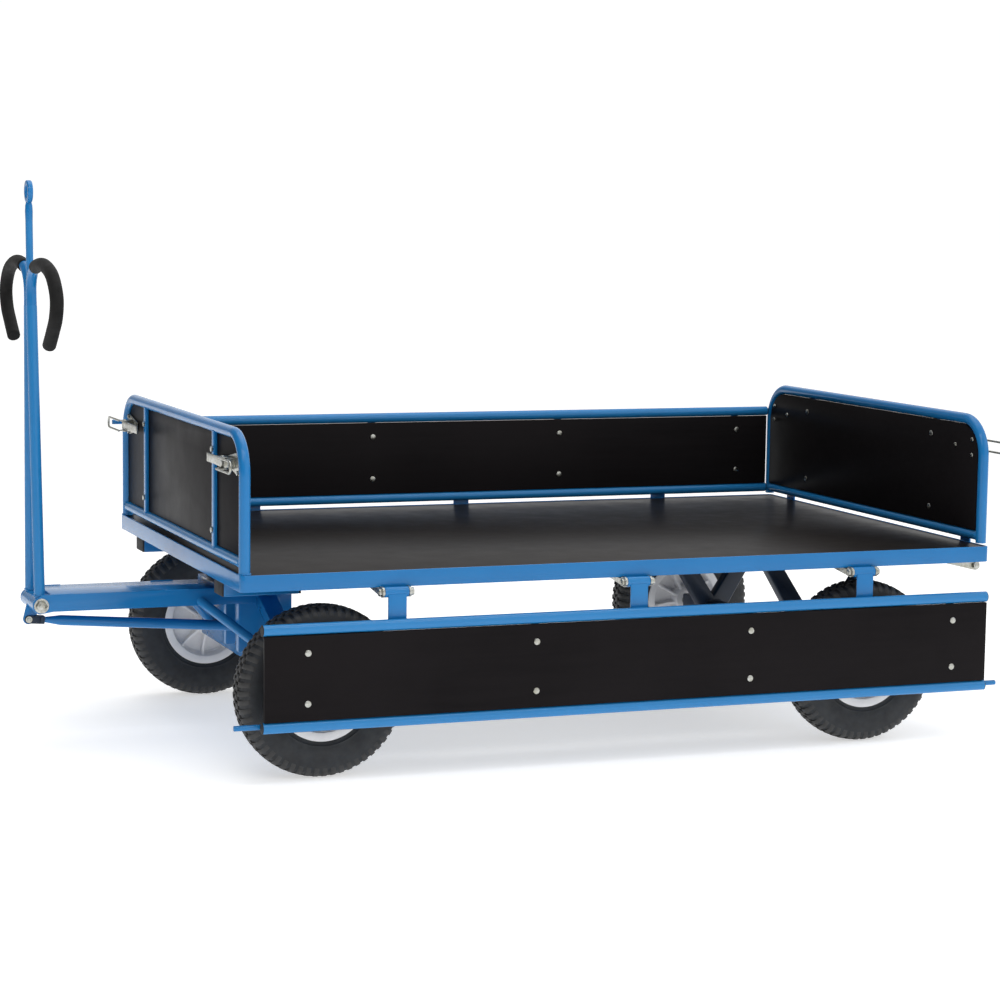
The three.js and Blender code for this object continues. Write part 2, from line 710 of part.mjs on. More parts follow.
function rearAxle() {
  return group(REAR_AXLE, 0, WHEEL.radius,
    piece('rear_axle_frame', rearAxleFrame(), darkSteel()),
    piece('rear_axle_shaft', axleShaft(), zinc()),
    wheel('rear_left', -1),
    wheel('rear_right', 1));
}

const truck = new THREE.Group();
truck.add(
  piece('deck_frame', deckFrame(), blueSteel()),
  piece('deck_board', deckBoard(), plywood()),
  group(FRONT_AXLE, 0, 0, piece('turntable_ring_upper', upperRing(), darkSteel())),
  frontWall(),
  rearWall(),
  rearAxle(),
  bogie(),
  sideWall('left', -1, 180),
  sideWall('right', 1, 0),
  ...sideHinges('left', -1),
  ...sideHinges('right', 1),
  ...rearHinges(),
  latch('front_left', -1, -1),
  latch('front_right', -1, 1),
  latch('rear_left', 1, -1),
  latch('rear_right', 1, 1),
);

export default truck;
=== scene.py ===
import json
import math
import random

import bmesh
import bpy
from mathutils import Matrix, Vector


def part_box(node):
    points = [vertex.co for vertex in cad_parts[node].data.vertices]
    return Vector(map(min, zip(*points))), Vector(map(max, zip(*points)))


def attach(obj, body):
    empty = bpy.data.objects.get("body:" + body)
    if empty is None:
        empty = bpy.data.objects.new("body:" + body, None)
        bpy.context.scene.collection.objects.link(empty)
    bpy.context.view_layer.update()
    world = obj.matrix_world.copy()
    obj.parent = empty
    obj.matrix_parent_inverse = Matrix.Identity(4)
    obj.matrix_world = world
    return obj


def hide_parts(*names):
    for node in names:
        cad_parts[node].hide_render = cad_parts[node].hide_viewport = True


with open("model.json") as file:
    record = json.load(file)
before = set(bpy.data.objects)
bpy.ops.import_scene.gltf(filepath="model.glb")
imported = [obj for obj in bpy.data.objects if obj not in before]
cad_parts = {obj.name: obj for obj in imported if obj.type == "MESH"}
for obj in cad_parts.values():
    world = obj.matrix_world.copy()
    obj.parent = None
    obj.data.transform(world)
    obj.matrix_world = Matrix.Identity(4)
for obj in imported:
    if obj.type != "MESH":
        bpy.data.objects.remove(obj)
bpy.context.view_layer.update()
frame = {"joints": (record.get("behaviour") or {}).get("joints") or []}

scene = bpy.context.scene
JOINT = {joint["name"]: Vector(joint["pos_m"]) for joint in frame["joints"]}
SIDES = (("left", -1), ("right", 1))

# Sizes that the truck's pieces share
TUBE = 0.0135       # radius of the wall and drawbar tubes
GAP = 0.000375      # clearance between pieces that touch
BEND = 0.095        # centre-line radius of the end walls' corners
RAIL = 0.525        # height of the end walls' lower tube
RIM_HEIGHT = 0.040
RIM_WALL = 0.005
LEDGE = 0.037       # width of the rim's ledge under the deck board
CORNER = 0.014      # outer corner radius of the deck rim
HINGE_OUT = 0.0135  # the hinge axis stands this far outside the deck rim
HINGE_LUG = 0.0127  # outer radius of the hinge lugs
ARM = {"half": 0.0825, "bottom": 0.348, "top": 0.391, "plate": 0.006}
LUG_PIN = Vector((-0.018, 0, -0.044))  # the brake pin, from the drawbar pivot
LEAN = 0.5          # degrees that the parked drawbar leans forward
ROD_FALL = 4.45     # degrees that the brake pull rod falls towards the rear
EYE_HEIGHT = 1.015  # above the drawbar pivot

# Places, from the frame
deck_lo, deck_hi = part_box("deck_frame")
FRONT, REAR, SIDE, TOP = deck_lo.x, deck_hi.x, deck_hi.y, deck_hi.z
MID = (FRONT + REAR) / 2
FRONT_AXLE = JOINT["wheel_front_left_spin"]
REAR_AXLE = JOINT["wheel_rear_left_spin"]
PIVOT = JOINT["drawbar_lift"]
LATCH = JOINT["latch_rear_right_swing"]


# ---- mesh tools

class Shells:
    """Collects the closed shells of one piece."""

    def __init__(self):
        self.bm = bmesh.new()

    def take(self, part, place=None):
        """Adds the shells of a bmesh, which is used up, moved to place if one is given."""
        if place is not None:
            part.transform(place)
        mesh = bpy.data.meshes.new("shell")
        bmesh.ops.recalc_face_normals(part, faces=part.faces)
        part.to_mesh(mesh)
        part.free()
        self.bm.from_mesh(mesh)
        bpy.data.meshes.remove(mesh)
        return self

    def mesh(self, name, angle=35):
        mesh = bpy.data.meshes.new(name)
        self.bm.to_mesh(mesh)
        self.bm.free()
        mesh.shade_smooth()
        mesh.set_sharp_from_angle(angle=math.radians(angle))
        return mesh


def bevelled(bm, width, segments=2, angle=30):
    if width > 0:
        edges = [e for e in bm.edges if e.calc_face_angle(0) > math.radians(angle)]
        bmesh.ops.bevel(bm, geom=edges, offset=width, segments=segments, profile=0.5,
                        affect="EDGES", clamp_overlap=True)
    return bm


def block(lo, hi, bevel=0.001, segments=2):
    """Box between two corners, in any order, with rounded edges."""
    low = Vector(map(min, lo, hi))
    size = Vector(map(max, lo, hi)) - low
    bm = bmesh.new()
    bmesh.ops.create_cube(bm, size=1)
    bm.transform(Matrix.Translation(low + size / 2) @ Matrix.Diagonal((*size, 1)))
    return bevelled(bm, bevel, segments)


PLANES = {
    "xy": Matrix(((1, 0, 0, 0), (0, 1, 0, 0), (0, 0, 1, 0), (0, 0, 0, 1))),
    "xz": Matrix(((1, 0, 0, 0), (0, 0, 1, 0), (0, 1, 0, 0), (0, 0, 0, 1))),
    "yz": Matrix(((0, 0, 1, 0), (1, 0, 0, 0), (0, 1, 0, 0), (0, 0, 0, 1))),
}


def plate(outline, plane, start, end, bevel=0.001, segments=2):
    """Flat plate: outline in the named plane, from start to end along the third axis."""
    bm = bmesh.new()
    low, high = sorted((start, end))
    face = bm.faces.new([bm.verts.new((u, v, low)) for u, v in outline])
    grown = bmesh.ops.extrude_face_region(bm, geom=[face])
    moved = [g for g in grown["geom"] if isinstance(g, bmesh.types.BMVert)]
    bmesh.ops.translate(bm, verts=moved, vec=(0, 0, high - low))
    bmesh.ops.recalc_face_normals(bm, faces=bm.faces)
    bevelled(bm, bevel, segments)
    bm.transform(PLANES[plane])
    return bm


def grid_shell(rings, loop=False):
    """Closed shell through rings of points. Each ring has the same number of points."""
    bm = bmesh.new()
    rows = [[bm.verts.new(p) for p in ring] for ring in rings]
    count = len(rows)
    for i in range(count if loop else count - 1):
        a, b = rows[i], rows[(i + 1) % count]
        for j in range(len(a)):
            k = (j + 1) % len(a)
            bm.faces.new((a[j], a[k], b[k], b[j]))
    if not loop:
        bm.faces.new(rows[0])
        bm.faces.new(list(reversed(rows[-1])))
    bmesh.ops.recalc_face_normals(bm, faces=bm.faces)
    return bm


def sweep(points, radius, sides=32, rounded=0.0):
    """Round bar along points. radius is one number or one for each point."""
    path = [Vector(p) for p in points]
    radii = list(radius) if hasattr(radius, "__len__") else [radius] * len(path)
    if rounded:
        fillet = [(rounded * (1 - math.sin(a)), rounded * (1 - math.cos(a)))
                  for a in map(math.radians, (90, 60, 30, 0))]     # depth from the tip, loss of radius
        for _ in range(2):
            tip, size = path[0], radii[0]
            inward = (path[1] - tip).normalized()
            path[:1] = [tip + inward * depth for depth, _ in fillet]
            radii[:1] = [size - loss for _, loss in fillet]
            path.reverse()
            radii.reverse()
    tangents = []
    for i, point in enumerate(path):
        before, after = path[max(i - 1, 0)], path[min(i + 1, len(path) - 1)]
        tangents.append((after - before).normalized())
    guide = Vector((0, 0, 1)) if abs(tangents[0].z) < 0.9 else Vector((1, 0, 0))
    normal = tangents[0].cross(guide).normalized()
    rings = []
    for i, (point, tangent, size) in enumerate(zip(path, tangents, radii)):
        if i:
            normal = tangents[i - 1].rotation_difference(tangent) @ normal
        normal = (normal - tangent * normal.dot(tangent)).normalized()
        side = tangent.cross(normal)
        rings.append([point + (normal * math.cos(a) + side * math.sin(a)) * size
                      for a in (2 * math.pi * k / sides for k in range(sides))])
    return grid_shell(rings)


AXES = {
    "z": Matrix.Identity(4),
    "x": Matrix.Rotation(math.pi / 2, 4, "Y"),
    "y": Matrix.Rotation(-math.pi / 2, 4, "X"),
}


def turned(profile, axis="z", segments=64):
    """Solid of revolution from (radius, height) pairs. It starts and ends on the axis, or closes."""
    bm = bmesh.new()
    on_axis = profile[0][0] < 1e-9
    inner = profile[1:-1] if on_axis else profile
    rows = []
    for r, h in inner:
        rows.append([bm.verts.new((r * math.cos(a), r * math.sin(a), h))
                     for a in (2 * math.pi * k / segments for k in range(segments))])
    for i in range(len(rows) - (1 if on_axis else 0)):
        a, b = rows[i], rows[(i + 1) % len(rows)]
        for j in range(segments):
            k = (j + 1) % segments
            bm.faces.new((a[j], a[k], b[k], b[j]))
    if on_axis:
        for row, height in ((rows[0], profile[0][1]), (rows[-1], profile[-1][1])):
            pole = bm.verts.new((0, 0, height))
            for j in range(segments):
                bm.faces.new((pole, row[j], row[(j + 1) % segments]))
    bmesh.ops.recalc_face_normals(bm, faces=bm.faces)
    bm.transform(AXES[axis])
    return bm


def at(x, y, z):
    return Matrix.Translation((x, y, z))


def half_turn(wanted):
    """Half a turn about the vertical if it is wanted, otherwise none."""
    return Matrix.Rotation(math.pi if wanted else 0, 4, "Z")


def facing(place, direction):
    """Moves something built along +Z to place, pointing in direction."""
    turn = Vector((0, 0, 1)).rotation_difference(Vector(direction)).to_matrix().to_4x4()
    return Matrix.Translation(place) @ turn


def arc(cx, cy, radius, start, end, steps):
    angles = [math.radians(start + (end - start) * i / steps) for i in range(steps + 1)]
    return [(cx + radius * math.cos(a), cy + radius * math.sin(a)) for a in angles]


def spline(points, steps):
    """Centripetal curve through points, with the given number of steps between neighbours."""
    p = [Vector(q) for q in points]
    p = [2 * p[0] - p[1], *p, 2 * p[-1] - p[-2]]
    out = []
    for i in range(1, len(p) - 2):
        quad = p[i - 1:i + 3]
        t = [0.0]
        for a, b in zip(quad, quad[1:]):
            t.append(t[-1] + max((b - a).length, 1e-9) ** 0.5)
        for k in range(steps):
            u = t[1] + (t[2] - t[1]) * k / steps
            a = [quad[j] * ((t[j + 1] - u) / (t[j + 1] - t[j]))
                 + quad[j + 1] * ((u - t[j]) / (t[j + 1] - t[j])) for j in range(3)]
            b = [a[j] * ((t[j + 2] - u) / (t[j + 2] - t[j]))
                 + a[j + 1] * ((u - t[j]) / (t[j + 2] - t[j])) for j in range(2)]
            out.append(b[0] * ((t[2] - u) / (t[2] - t[1])) + b[1] * ((u - t[1]) / (t[2] - t[1])))
    return [*out, p[-2]]


# ---- fasteners and welds

def dome(radius, height):
    """Round bolt head on the plane z = 0, pointing to +Z."""
    rise = [(radius * math.cos(a), 0.0006 + (height - 0.0006) * math.sin(a))
            for a in (math.radians(10 * k) for k in range(9))]
    return turned([(0, -0.001), (radius, -0.001), (radius, 0.0004), *rise, (0, height)], "z", 28)


def hexagon(radius, start, end, bevel=0.0006):
    return plate(arc(0, 0, radius, 0, 300, 5), "xy", start, end, bevel)


def nut_stack(shells, place, direction, nut, washer, thick, bolt, proud):
    """Washer, hexagon nut and bolt end, standing on a face at place."""
    where = facing(place, direction)
    sheet, pitch = 0.0018, 0.0012
    shells.take(turned([(bolt * 0.8, 0), (washer, 0), (washer, sheet * 0.7),
                        (washer - 0.0004, sheet), (bolt * 0.8, sheet)], "z", 40), where)
    shells.take(hexagon(nut, sheet, sheet + thick), where)
    turns = max(int(proud / pitch), 1)
    base = sheet + thick
    top = base + pitch * turns + 0.0006
    threads = [(0, sheet), (bolt, sheet), (bolt, base)]
    for k in range(turns):
        threads += [(bolt * 0.92, base + pitch * (k + 0.5)), (bolt, base + pitch * (k + 1))]
    shells.take(turned([*threads, (bolt * 0.8, top), (0, top)], "z", 24), where)


def weld_ring(shells, place, direction, radius, bead, rng):
    """Rippled weld bead round the root of a bar."""
    steps = 56
    rings = []
    for k in range(steps):
        a = 2 * math.pi * k / steps
        size = bead * (1 + 0.16 * math.sin(a * 17) + rng.uniform(-0.05, 0.05))
        centre = Vector((radius * math.cos(a), radius * math.sin(a), 0))
        out = Vector((math.cos(a), math.sin(a), 0))
        rings.append([centre + out * (size * math.cos(b)) + Vector((0, 0, size * math.sin(b)))
                      for b in (2 * math.pi * j / 8 for j in range(8))])
    shells.take(grid_shell(rings, loop=True), facing(place, direction))


def weld_line(shells, start, end, bead, rng):
    """Rippled weld bead along a straight seam."""
    a, b = Vector(start), Vector(end)
    steps = max(int((b - a).length / 0.0025), 4)
    points = [a.lerp(b, k / steps) for k in range(steps + 1)]
    sizes = [bead * (1 + 0.14 * (k % 2) + rng.uniform(-0.06, 0.06)) for k in range(steps + 1)]
    sizes[0] = sizes[-1] = bead * 0.6
    shells.take(sweep(points, sizes, 10))


# ---- materials

def new_node(tree, kind, **settings):
    made = tree.nodes.new(kind)
    for key, value in settings.items():
        setattr(made, key, value)
    return made


class Nodes:
    """A short way to write a procedural material on the Principled shader."""

    def __init__(self, name, metallic=0.0, **constants):
        self.material = bpy.data.materials.new(name)
        self.material.use_nodes = True
        self.tree = self.material.node_tree
        self.shader = self.tree.nodes["Principled BSDF"]
        self.shader.inputs["Metallic"].default_value = metallic
        for socket, value in constants.items():
            self.shader.inputs[socket.replace("_", " ")].default_value = value
        self.place = self.node("ShaderNodeTexCoord").outputs["Object"]
        self.normal = None

    def node(self, kind, **settings):
        return new_node(self.tree, kind, **settings)

    def link(self, source, target):
        self.tree.links.new(source, target)

    def stretched(self, scale):
        mapping = self.node("ShaderNodeMapping")
        mapping.inputs["Scale"].default_value = scale
        self.link(self.place, mapping.inputs["Vector"])
        return mapping.outputs["Vector"]

    def noise(self, scale, detail=3.0, rough=0.5, stretch=None):
        made = self.node("ShaderNodeTexNoise")
        made.inputs["Scale"].default_value = scale
        made.inputs["Detail"].default_value = detail
        made.inputs["Roughness"].default_value = rough
        self.link(self.stretched(stretch) if stretch else self.place, made.inputs["Vector"])
        return made.outputs["Fac"]

    def ramp(self, factor, stops):
        made = self.node("ShaderNodeValToRGB")
        elements = made.color_ramp.elements
        while len(elements) < len(stops):
            elements.new(0.5)
        for element, (position, colour) in zip(elements, stops):
            element.position = position
            element.color = (*colour, 1)
        self.link(factor, made.inputs["Fac"])
        return made.outputs["Color"]

    def spread(self, factor, low, high, start=0.3, end=0.7):
        made = self.node("ShaderNodeMapRange")
        for key, value in (("From Min", start), ("From Max", end), ("To Min", low), ("To Max", high)):
            made.inputs[key].default_value = value
        self.link(factor, made.inputs["Value"])
        return made.outputs["Result"]

    def mix(self, factor, first, second):
        """Each colour is a socket or a tuple."""
        made = self.node("ShaderNodeMix", data_type="RGBA")
        for socket, value in ((made.inputs[0], factor), (made.inputs[6], first), (made.inputs[7], second)):
            if isinstance(value, bpy.types.NodeSocket):
                self.link(value, socket)
            else:
                socket.default_value = (*value, 1)
        return made.outputs[2]

    def edges(self, low, high):
        """1 on sharp outer edges, 0 on flats."""
        return self.spread(self.node("ShaderNodeNewGeometry").outputs["Pointiness"], 0, 1, low, high)

    def bump(self, height, distance, strength):
        made = self.node("ShaderNodeBump")
        made.inputs["Distance"].default_value = distance
        made.inputs["Strength"].default_value = strength
        self.link(height, made.inputs["Height"])
        if self.normal is not None:
            self.link(self.normal, made.inputs["Normal"])
        self.normal = made.outputs["Normal"]

    def done(self, colour, roughness):
        self.link(colour, self.shader.inputs["Base Color"])
        self.link(roughness, self.shader.inputs["Roughness"])
        if self.normal is not None:
            self.link(self.normal, self.shader.inputs["Normal"])
        return self.material


def powder_coat(name, low, high, edge, rough):
    """Sprayed coat with fine orange peel, a little dust, and a lighter colour along the edges that is
    partly worn paint and partly a painted highlight.
    """
    n = Nodes(name, Specular_IOR_Level=0.40)
    tone = n.ramp(n.noise(5, 4), [(0.3, low), (0.7, high)])
    # lighter colour on the sharp edges: partly worn paint, partly a painted highlight
    colour = n.mix(n.edges(0.54, 0.66), tone, edge)
    n.bump(n.noise(420, 2), 0.00005, 0.25)
    n.bump(n.noise(60, 2), 0.0002, 0.08)
    return n.done(colour, n.spread(n.noise(28, 5, 0.6), rough, rough + 0.08))


def zinc_plate():
    n = Nodes("zinc_plated_steel", metallic=1.0)
    tone = n.ramp(n.noise(70, 5, 0.6), [(0.25, (0.26, 0.25, 0.19)), (0.5, (0.42, 0.42, 0.38)),
                                       (0.8, (0.56, 0.58, 0.58))])
    n.bump(n.noise(900, 2), 0.00003, 0.4)
    return n.done(tone, n.spread(n.noise(160, 4), 0.2, 0.42))


def film_board(name, low, high, rough, grain, gloss):
    """Plywood under a smooth phenolic film: the veneer shows as faint long ripples."""
    n = Nodes(name, Specular_IOR_Level=gloss)
    fibres = n.noise(9, 6, 0.6, stretch=grain)
    cloud = n.noise(2.3, 5, 0.55)
    colour = n.mix(n.spread(fibres, 0, 0.5), n.ramp(cloud, [(0.3, low), (0.7, high)]), high)
    n.bump(fibres, 0.0001, 0.05)
    n.bump(n.noise(700, 2), 0.00002, 0.1)
    return n.done(colour, n.spread(n.noise(14, 6, 0.65), rough, rough + 0.07))


def tyre_rubber():
    n = Nodes("tyre_rubber")
    dust = n.noise(18, 6, 0.65)
    colour = n.ramp(dust, [(0.3, (0.009, 0.010, 0.012)), (0.55, (0.015, 0.018, 0.022)),
                           (0.85, (0.028, 0.030, 0.034))])
    worn = n.mix(n.edges(0.51, 0.60), colour, (0.042, 0.041, 0.040))
    n.bump(n.noise(500, 3), 0.00012, 0.5)
    return n.done(worn, n.spread(n.noise(40, 4), 0.5, 0.72))


def plain_rubber():
    n = Nodes("black_rubber")
    colour = n.ramp(n.noise(30, 5), [(0.3, (0.010, 0.010, 0.010)), (0.8, (0.022, 0.021, 0.021))])
    n.bump(n.noise(600, 3), 0.00008, 0.4)
    return n.done(colour, n.spread(n.noise(50, 3), 0.6, 0.8))


def closed_foam():
    n = Nodes("grip_foam", Specular_IOR_Level=0.2)
    n.shader.inputs["Sheen Weight"].default_value = 0.03
    n.shader.inputs["Sheen Roughness"].default_value = 0.6
    colour = n.ramp(n.noise(22, 5), [(0.3, (0.006, 0.006, 0.006)), (0.8, (0.012, 0.011, 0.011))])
    cells = n.node("ShaderNodeTexVoronoi")
    cells.inputs["Scale"].default_value = 900
    n.link(n.place, cells.inputs["Vector"])
    n.bump(cells.outputs["Distance"], 0.0003, 0.45)
    n.bump(n.noise(90, 4), 0.0003, 0.3)
    return n.done(colour, n.spread(n.noise(60, 3), 0.72, 0.9))


def cast_rim():
    n = Nodes("rim_lacquer", metallic=0.15)
    tone = n.ramp(n.noise(16, 5, 0.6), [(0.25, (0.70, 0.70, 0.72)), (0.7, (0.84, 0.84, 0.85))])
    # near-white colour on the sharp edges: a painted highlight
    colour = n.mix(n.edges(0.53, 0.64), tone, (0.90, 0.90, 0.90))
    n.bump(n.noise(260, 4), 0.00015, 0.5)
    return n.done(colour, n.spread(n.noise(30, 4), 0.34, 0.5))


MATERIALS = {
    # the third colour of each coat is its lighter edge colour, partly wear and partly a painted highlight
    "blue_paint": powder_coat("blue_powder_coat", (0.006, 0.158, 0.420), (0.010, 0.182, 0.470),
                              (0.030, 0.240, 0.540), 0.17),
    "dark_steel": powder_coat("dark_coated_steel", (0.002, 0.010, 0.026), (0.004, 0.018, 0.044),
                              (0.02, 0.05, 0.09), 0.34),
    "zinc": zinc_plate(),
    "deck_plywood": film_board("deck_film", (0.0125, 0.0107, 0.0099), (0.0186, 0.0161, 0.0151),
                               0.30, (0.6, 7, 7), 0.03),
    "wall_board": film_board("wall_film", (0.0086, 0.0078, 0.0085), (0.0146, 0.0128, 0.0137),
                             0.30, (0.5, 6, 9), 0.02),
    "tyre": tyre_rubber(),
    "rim": cast_rim(),
    "foam": closed_foam(),
    "rubber": plain_rubber(),
}


def add(name, shells, slot, body, replaced=(), place=None):
    """Makes the piece from shells or a mesh, gives it its finish, and hands it to its body."""
    mesh = shells.copy() if isinstance(shells, bpy.types.Mesh) else shells.mesh(name)
    if place is not None:
        mesh.transform(place)
    piece = bpy.data.objects.new(name, mesh)
    scene.collection.objects.link(piece)
    if not mesh.materials:
        mesh.materials.append(MATERIALS[slot])
    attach(piece, body)
    if replaced:
        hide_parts(*replaced)
    return piece


# ---- deck

def rounded_loop(inset, z):
    """The deck's outline, moved inwards by inset, at one height."""
    radius, steps = max(CORNER - inset, 0.003), 8
    x0, x1, y1 = FRONT + inset + radius, REAR - inset - radius, SIDE - inset - radius
    corners = [*arc(x1, y1, radius, 0, 90, steps), *arc(x0, y1, radius, 90, 180, steps),
               *arc(x0, -y1, radius, 180, 270, steps), *arc(x1, -y1, radius, 270, 360, steps)]
    return [(x, y, z) for x, y in corners]


def rim_ring(inset, width, z0, z1, bevel):
    """Closed band round the deck, with the corners rounded."""
    rings = [rounded_loop(inset, z0), rounded_loop(inset, z1),
             rounded_loop(inset + width, z1), rounded_loop(inset + width, z0)]
    return bevelled(grid_shell(rings, loop=True), bevel, 3, 50)


def deck():
    """Welded rim with its ledge, cross members, runners and bolster; runner caps; deck board."""
    bottom = TOP - RIM_HEIGHT
    ledge_top = TOP - 0.014 - GAP
    cross = (0.130, 0.298, 0.960, 1.500, 1.830)      # centre lines of the members, from the front
    half_member = 0.030
    run_from, run_to, run_in, run_out, low = 0.004, 0.196, 0.373, 0.449, deck_lo.z
    rng = random.Random(11)
    body = Shells()
    body.take(rim_ring(0, RIM_WALL, bottom, TOP, 0.0013))
    body.take(rim_ring(0.003, LEDGE - 0.003, bottom, ledge_top, 0.0006))
    for x in cross:
        body.take(block((FRONT + x - half_member, -SIDE + 0.004, bottom + 0.001),
                        (FRONT + x + half_member, SIDE - 0.004, ledge_top - 0.001), 0.002))
        for s in (-1, 1):
            for edge in (-half_member, half_member):
                y = s * (SIDE - LEDGE)
                weld_line(body, (FRONT + x + edge, y, bottom + 0.003),
                          (FRONT + x + edge, y, ledge_top - 0.003), 0.0022, rng)
    for s in (-1, 1):
        body.take(block((FRONT + run_from + 0.002, s * run_in, low),
                        (FRONT + run_to, s * run_out, ledge_top - 0.006), 0.004, 3))
    body.take(block((FRONT_AXLE.x - 0.110, -0.220, low), (FRONT_AXLE.x + 0.110, 0.220, ledge_top - 0.008),
                    0.002))
    add("deck_weldment", body, "blue_paint", "chassis", ["deck_frame"])
    caps = Shells()
    for s in (-1, 1):
        for x0, x1 in ((run_from - 0.001, run_from + 0.004), (run_to - 0.002, run_to + 0.003)):
            caps.take(block((FRONT + x0, s * (run_in + 0.0005), low + 0.0005),
                            (FRONT + x1, s * (run_out - 0.0005), bottom - 0.0004), 0.0015))
    add("runner_caps", caps, "rubber", "chassis")
    lo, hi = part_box("deck_board")
    board = Shells()
    board.take(plate([(x, y) for x, y, _ in rounded_loop(RIM_WALL + GAP, 0)], "xy", lo.z, hi.z, 0.0008))
    add("deck_film_board", board, "deck_plywood", "chassis", ["deck_board"])


def turntable():
    """Two steel rings, one under the deck and one on the bogie."""
    for node, body in (("turntable_ring_upper", "chassis"), ("turntable_ring_lower", "bogie")):
        lo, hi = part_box(node)
        outer, inner, lip = (hi.x - lo.x) / 2, 0.092, 0.004
        z0, z1 = lo.z, hi.z
        profile = [(inner, z0), (outer, z0), (outer, z1 - 0.005), (outer - lip, z1),
                   (inner + lip, z1), (inner, z1 - 0.005)]
        ring = Shells().take(turned(profile, "z", 112), at(FRONT_AXLE.x, 0, 0))
        add(node + "_race", ring, "dark_steel", body, [node])


# ---- walls

# Faces of the boards and of the bars behind them, outwards from the plane of the wall's tubes
BOARD_IN, BOARD_OUT = -0.011, 0.0009
BAR_IN, BAR_OUT, BAR_HALF = 0.0013, 0.011, 0.010
STRAPS = (-0.624, 0, 0.624)                                      # along a side wall
LATCH_BOLTS = ((0.053, 0.0205), (0.053, -0.0205), (-0.030, 0))   # outboard and up from a latch's axis


def wall_bolts(shells, points, outward):
    """Domed heads on a board's inner face and nuts on its bars, for points on the tubes' plane."""
    for p in points:
        shells.take(dome(0.008, 0.0024), facing(p + outward * BOARD_IN, -outward))
        shells.take(hexagon(0.0075, 0, 0.005), facing(p + outward * BAR_OUT, outward))


def arch(post, foot, top, bend):
    """Up one post, round two corners and down the other post, as (y, z) points."""
    return [(post, foot), *arc(post - bend, top - bend, bend, 0, 90, 20),
            *arc(bend - post, top - bend, bend, 90, 180, 20), (-post, foot)]


def end_wall(name, x, outward, body, foot, extra=None):
    """Front or rear wall: a bent tube with a lower tube, two bars, a board and its bolts."""
    post, bar_y = 0.605, 0.355
    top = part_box(name + "_frame")[1].z - TUBE
    rng, tubes = random.Random(23 if outward > 0 else 29), Shells()
    tubes.take(sweep([(x, y, z) for y, z in arch(post, foot, top, BEND)], TUBE, 36))
    tubes.take(sweep([(x, -post, RAIL), (x, post, RAIL)], TUBE - 0.0005, 36))
    for s in (-1, 1):
        bar = s * bar_y
        tubes.take(block((x + outward * BAR_IN, bar - BAR_HALF, RAIL + 0.006),
                         (x + outward * BAR_OUT, bar + BAR_HALF, top - 0.006), 0.0022, 3))
        weld_ring(tubes, (x, s * (post - TUBE + 0.0005), RAIL), (0, 1, 0), TUBE - 0.0012, 0.0021, rng)
        for z in (RAIL + 0.0095, top - 0.0095):
            weld_line(tubes, (x + outward * 0.010, bar - 0.009, z), (x + outward * 0.010, bar + 0.009, z),
                      0.0022, rng)
        if outward < 0:
            weld_ring(tubes, (x, s * post, TOP + 0.001), (0, 0, 1), TUBE, 0.0024, rng)
    if extra:
        extra(tubes, rng)
    add(name + "_tubes", tubes, "blue_paint", body, [name + "_frame"])
    gap = TUBE + GAP
    outline = arch(post - gap, RAIL + gap, top - gap, BEND - gap)
    board = Shells().take(plate(outline, "yz", x + outward * BOARD_IN, x + outward * BOARD_OUT, 0.0007))
    add(name + "_board", board, "wall_board", body, [name + "_panel"])
    bolts, out = Shells(), Vector((outward, 0, 0))
    wall_bolts(bolts, [Vector((x, s * bar_y, z)) for s in (-1, 1) for z in (0.575, 0.771)], out)
    head_drop = 0.0015            # of the latch bolts' heads, below the latch's own axis
    for s in (-1, 1):
        for dy, dz in LATCH_BOLTS:
            spot = Vector((x + outward * BOARD_IN, s * (LATCH.y + dy), LATCH.z - head_drop + dz))
            bolts.take(dome(0.0058, 0.0034), facing(spot, -out))
    add(name + "_bolts", bolts, "zinc", body)


def hinge_strap(shells, height, place, rng):
    """Strap from a wall's lower tube to the lug on its hinge axis, with a weld between them."""
    face, half, end, edge = -HINGE_OUT + 0.0003, 0.023, 0.030, 0.0012
    shells.take(block((-half, face, 0.004), (half, face + 0.005, height + 0.006), 0.0012), place)
    profile = [(0.0064, -end), (HINGE_LUG - edge, -end), (HINGE_LUG, edge - end),
               (HINGE_LUG, end - edge), (HINGE_LUG - edge, end), (0.0064, end)]
    shells.take(turned(profile, "x", 48), place)
    seam = Shells()
    reach, out = half - 0.002, face + 0.006
    weld_line(seam, (-reach, out, 0.0115), (reach, out, 0.0115), 0.0018, rng)
    shells.take(seam.bm, place)


